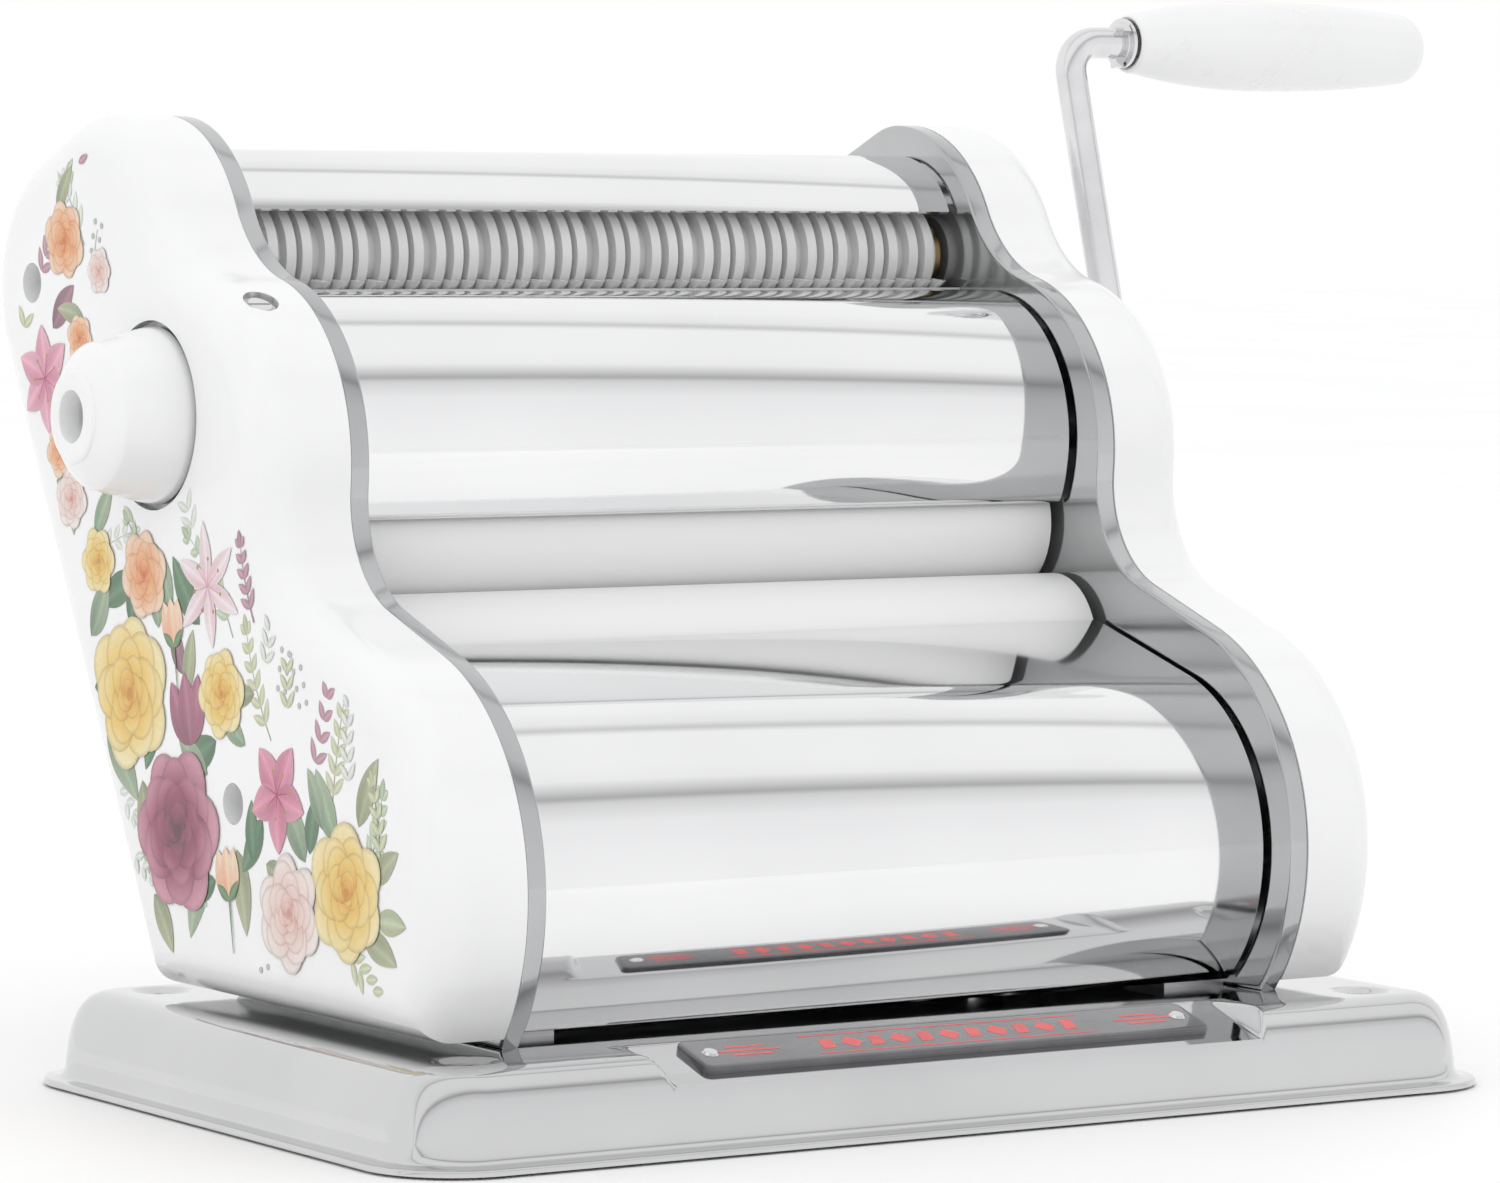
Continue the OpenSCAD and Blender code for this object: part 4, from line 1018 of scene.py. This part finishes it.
def flowers():
    p = Print()
    # sprigs and leaves first, they lie under the blooms
    for c, a, l, col, n, bend, ber in (
            ((96, 120), 150, 26, MIST, 6, 0.3, False), ((40, 128), 66, 26, MIST, 6, -0.3, False),
            ((22, 108), 60, 30, GREEN_L, 6, -0.5, False), ((4, 86), 52, 26, OLIVE_L, 6, 0.4, False),
            ((-14, 78), 118, 26, PLUM_L, 5, -0.3, False), ((-24, 72), 96, 26, OLIVE_L, 6, 0.2, False),
            ((-40, 60), 118, 18, GREEN_L, 5, -0.3, False), ((88, 74), 205, 20, MIST, 5, 0.2, False),
            ((105, 205), 84, 18, GREEN_L, 5, 0.2, False), ((96, 196), 60, 22, MIST, 5, -0.3, False),
            ((120, 186), 118, 20, PLUM_L, 5, 0.2, False), ((128, 172), 100, 20, OLIVE_L, 5, 0.3, False),
            ((114, 152), 220, 18, MIST, 5, 0.2, False), ((-30, 42), 205, 22, OLIVE_L, 6, 0.3, False),
            ((0, 92), 96, 22, MIST, 5, 0.2, True), ((-12, 90), 76, 20, MIST, 5, -0.2, True),
            ((50, 134), 40, 16, MIST, 4, 0.3, True), ((92, 186), 96, 14, MIST, 4, 0.2, True),
            ((8, 38), 250, 10, MIST, 4, 0.2, True), ((60, 52), 200, 22, MIST, 5, -0.2, False),
            ((70, 128), 76, 16, OLIVE_L, 4, 0.2, False)):
        p.sprig(c, a, l, col, n, 6.0, 2.4, bend, ber)
    for c, a, l, w, c0, c1, bend in (
            ((86, 112), 150, 20, 8, GREEN_D, GREEN, 0.3), ((80, 104), 190, 17, 8, GREEN_D, GREEN, -0.3),
            ((84, 82), 215, 22, 9, GREEN_D, GREEN_L, 0.3), ((66, 72), 255, 22, 9, OLIVE, OLIVE_L, 0.2),
            ((44, 54), 240, 24, 10, GREEN_D, GREEN_L, 0.4), ((34, 58), 300, 22, 9, GREEN, GREEN_L, -0.3),
            ((20, 60), 250, 20, 8, OLIVE, OLIVE_L, 0.2), ((8, 68), 300, 16, 7, GREEN_D, GREEN, 0.2),
            ((38, 110), 40, 20, 8, GREEN_D, GREEN, 0.3), ((52, 112), 70, 18, 7, GREEN, GREEN_L, -0.3),
            ((30, 84), 330, 18, 8, GREEN_D, GREEN, 0.3), ((12, 96), 350, 17, 6, OLIVE, OLIVE_L, 0.3),
            ((-12, 60), 60, 18, 8, GREEN_D, GREEN_L, -0.3), ((-26, 66), 50, 18, 8, GREEN, GREEN_L, 0.3),
            ((-36, 70), 110, 18, 7, OLIVE, OLIVE_L, 0.3), ((-38, 46), 190, 16, 7, OLIVE, OLIVE_L, 0.3),
            ((-20, 44), 290, 18, 8, PLUM, PLUM_L, 0.2), ((-8, 40), 300, 18, 8, GREEN, GREEN_L, 0.2),
            ((46, 98), 60, 14, 6, PLUM, PLUM_L, 0.2), ((112, 176), 130, 15, 7, PLUM, PLUM_L, 0.2),
            ((116, 160), 190, 12, 6, GREEN_D, GREEN, 0.2), ((104, 190), 40, 16, 7, GREEN_D, GREEN_L, 0.4),
            ((100, 204), 60, 15, 6, GREEN_D, GREEN, -0.3), ((110, 204), 120, 13, 5, OLIVE, OLIVE_L, 0.2),
            ((104, 142), 250, 15, 6, OLIVE, OLIVE_L, 0.3), ((98, 150), 300, 13, 5, GREEN, GREEN_L, 0.2),
            ((90, 128), 120, 15, 6, GREEN, GREEN_L, 0.2), ((124, 170), 80, 14, 6, PLUM, PLUM_L, 0.2),
            ((96, 178), 20, 14, 5, OLIVE, OLIVE_L, -0.3), ((60, 90), 280, 16, 7, GREEN_D, GREEN, 0.2)):
        p.leaf(c, a, l, w, c0, c1, bend)
    for c, a, l, w, c0, c1, bend in (
            ((92, 104), 128, 17, 8, GREEN_D, GREEN_L, -0.3), ((90, 92), 170, 13, 6, GREEN_D, GREEN, 0.3),
            ((88, 78), 190, 14, 6, OLIVE, OLIVE_L, 0.2), ((72, 108), 100, 14, 7, GREEN_D, GREEN, 0.3),
            ((58, 108), 80, 13, 6, GREEN, GREEN_L, -0.3), ((44, 94), 95, 15, 6, OLIVE, OLIVE_L, 0.2),
            ((34, 76), 20, 16, 7, GREEN_D, GREEN_L, 0.3), ((16, 84), 25, 17, 6, GREEN, GREEN_L, 0.3),
            ((30, 52), 340, 13, 6, GREEN_D, GREEN, -0.3), ((12, 58), 80, 14, 6, GREEN_D, GREEN, 0.2),
            ((6, 58), 200, 12, 6, OLIVE, OLIVE_L, 0.2), ((-14, 62), 95, 14, 6, GREEN_D, GREEN, 0.3),
            ((-20, 68), 70, 15, 6, GREEN_D, GREEN_L, -0.3), ((-42, 58), 140, 14, 6, OLIVE, OLIVE_L, 0.2),
            ((-44, 50), 175, 13, 6, GREEN_L, OLIVE_L, 0.2), ((60, 46), 225, 16, 7, OLIVE, OLIVE_L, 0.3),
            ((38, 44), 262, 13, 6, GREEN, GREEN_L, 0.2), ((110, 140), 200, 12, 5, GREEN, GREEN_L, 0.2),
            ((118, 178), 60, 13, 6, GREEN_D, GREEN, 0.3), ((112, 190), 110, 13, 6, GREEN_D, GREEN_L, 0.2)):
        p.leaf(c, a, l, w, c0, c1, bend)
    for c, a, l, col, n, bend, ber in (
            ((56, 118), 30, 22, GREEN_L, 5, 0.3, False), ((8, 100), 110, 22, MIST, 6, -0.3, False),
            ((-4, 90), 84, 24, OLIVE_L, 6, 0.2, False), ((-32, 76), 80, 24, MIST, 6, 0.3, False),
            ((-46, 62), 84, 18, OLIVE_L, 5, -0.2, False), ((-10, 34), 215, 16, MIST, 4, 0.2, False),
            ((92, 66), 232, 18, GREEN_L, 5, 0.2, False), ((76, 58), 215, 16, MIST, 4, -0.2, False),
            ((12, 112), 60, 18, PLUM_L, 5, 0.3, False), ((100, 212), 110, 14, PLUM_L, 4, 0.3, False)):
        p.sprig(c, a, l, col, n, 5.0, 2.0, bend, ber)
    # blooms
    p.bloom((34, 119), 15, 6, (0.72, 0.40, 0.46), (0.98, 0.86, 0.88), 0.36, 20)
    p.bloom((116, 164), 13, 6, (0.50, 0.08, 0.20), (0.88, 0.50, 0.60), 0.62, 80)
    p.bloom((1, 74), 13, 5, (0.42, 0.04, 0.14), (0.80, 0.36, 0.48), 0.66, 50)
    for d in (-30, 30, 0):
        p.leaf((42, 82), 78 + d, 17, 9, PLUM, (0.50, 0.16, 0.26), -0.008 * d)
    p.rose((106, 197), 9.5, *ORA, 0.3)
    p.rose((98, 174), 6.0, *ORA, 1.2)
    p.rose((108, 147), 6.5, *ORA, 0.6)
    p.rose((88, 190), 5.5, *PAL, 0.9)
    p.rose((102, 136), 7.5, *PAL, 0.2)
    p.rose((88, 122), 8.0, *YEL, 0.1)
    p.rose((65, 120), 10.5, *ORA, 0.8)
    p.bud((50, 104), 5.5, 80, ORA[0], ORA[2])
    p.rose((27, 95), 10.5, *YEL, 1.7)
    p.rose((72, 92), 18.5, *YEL, 0.4)
    p.rose((48, 62), 19.0, *BUR, 1.0)
    p.bud((23, 48), 6.0, 80, ORA[0], ORA[2])
    p.rose((-5, 48), 13.5, *PAL, 0.5)
    p.rose((-31, 55), 15.5, *YEL, 1.3)
    for d in (-26, 26, 0):
        p.leaf((-18, 40), 250 + d, 11, 6.5, (0.45, 0.10, 0.20), (0.85, 0.52, 0.60), -0.008 * d)
    ob = p.obj("flower_print")
    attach(ob, "frame")
    print("flower print", len(p.v), "points, layers", p.layer)


flowers()

bpy.context.scene.view_settings.view_transform = "Standard"
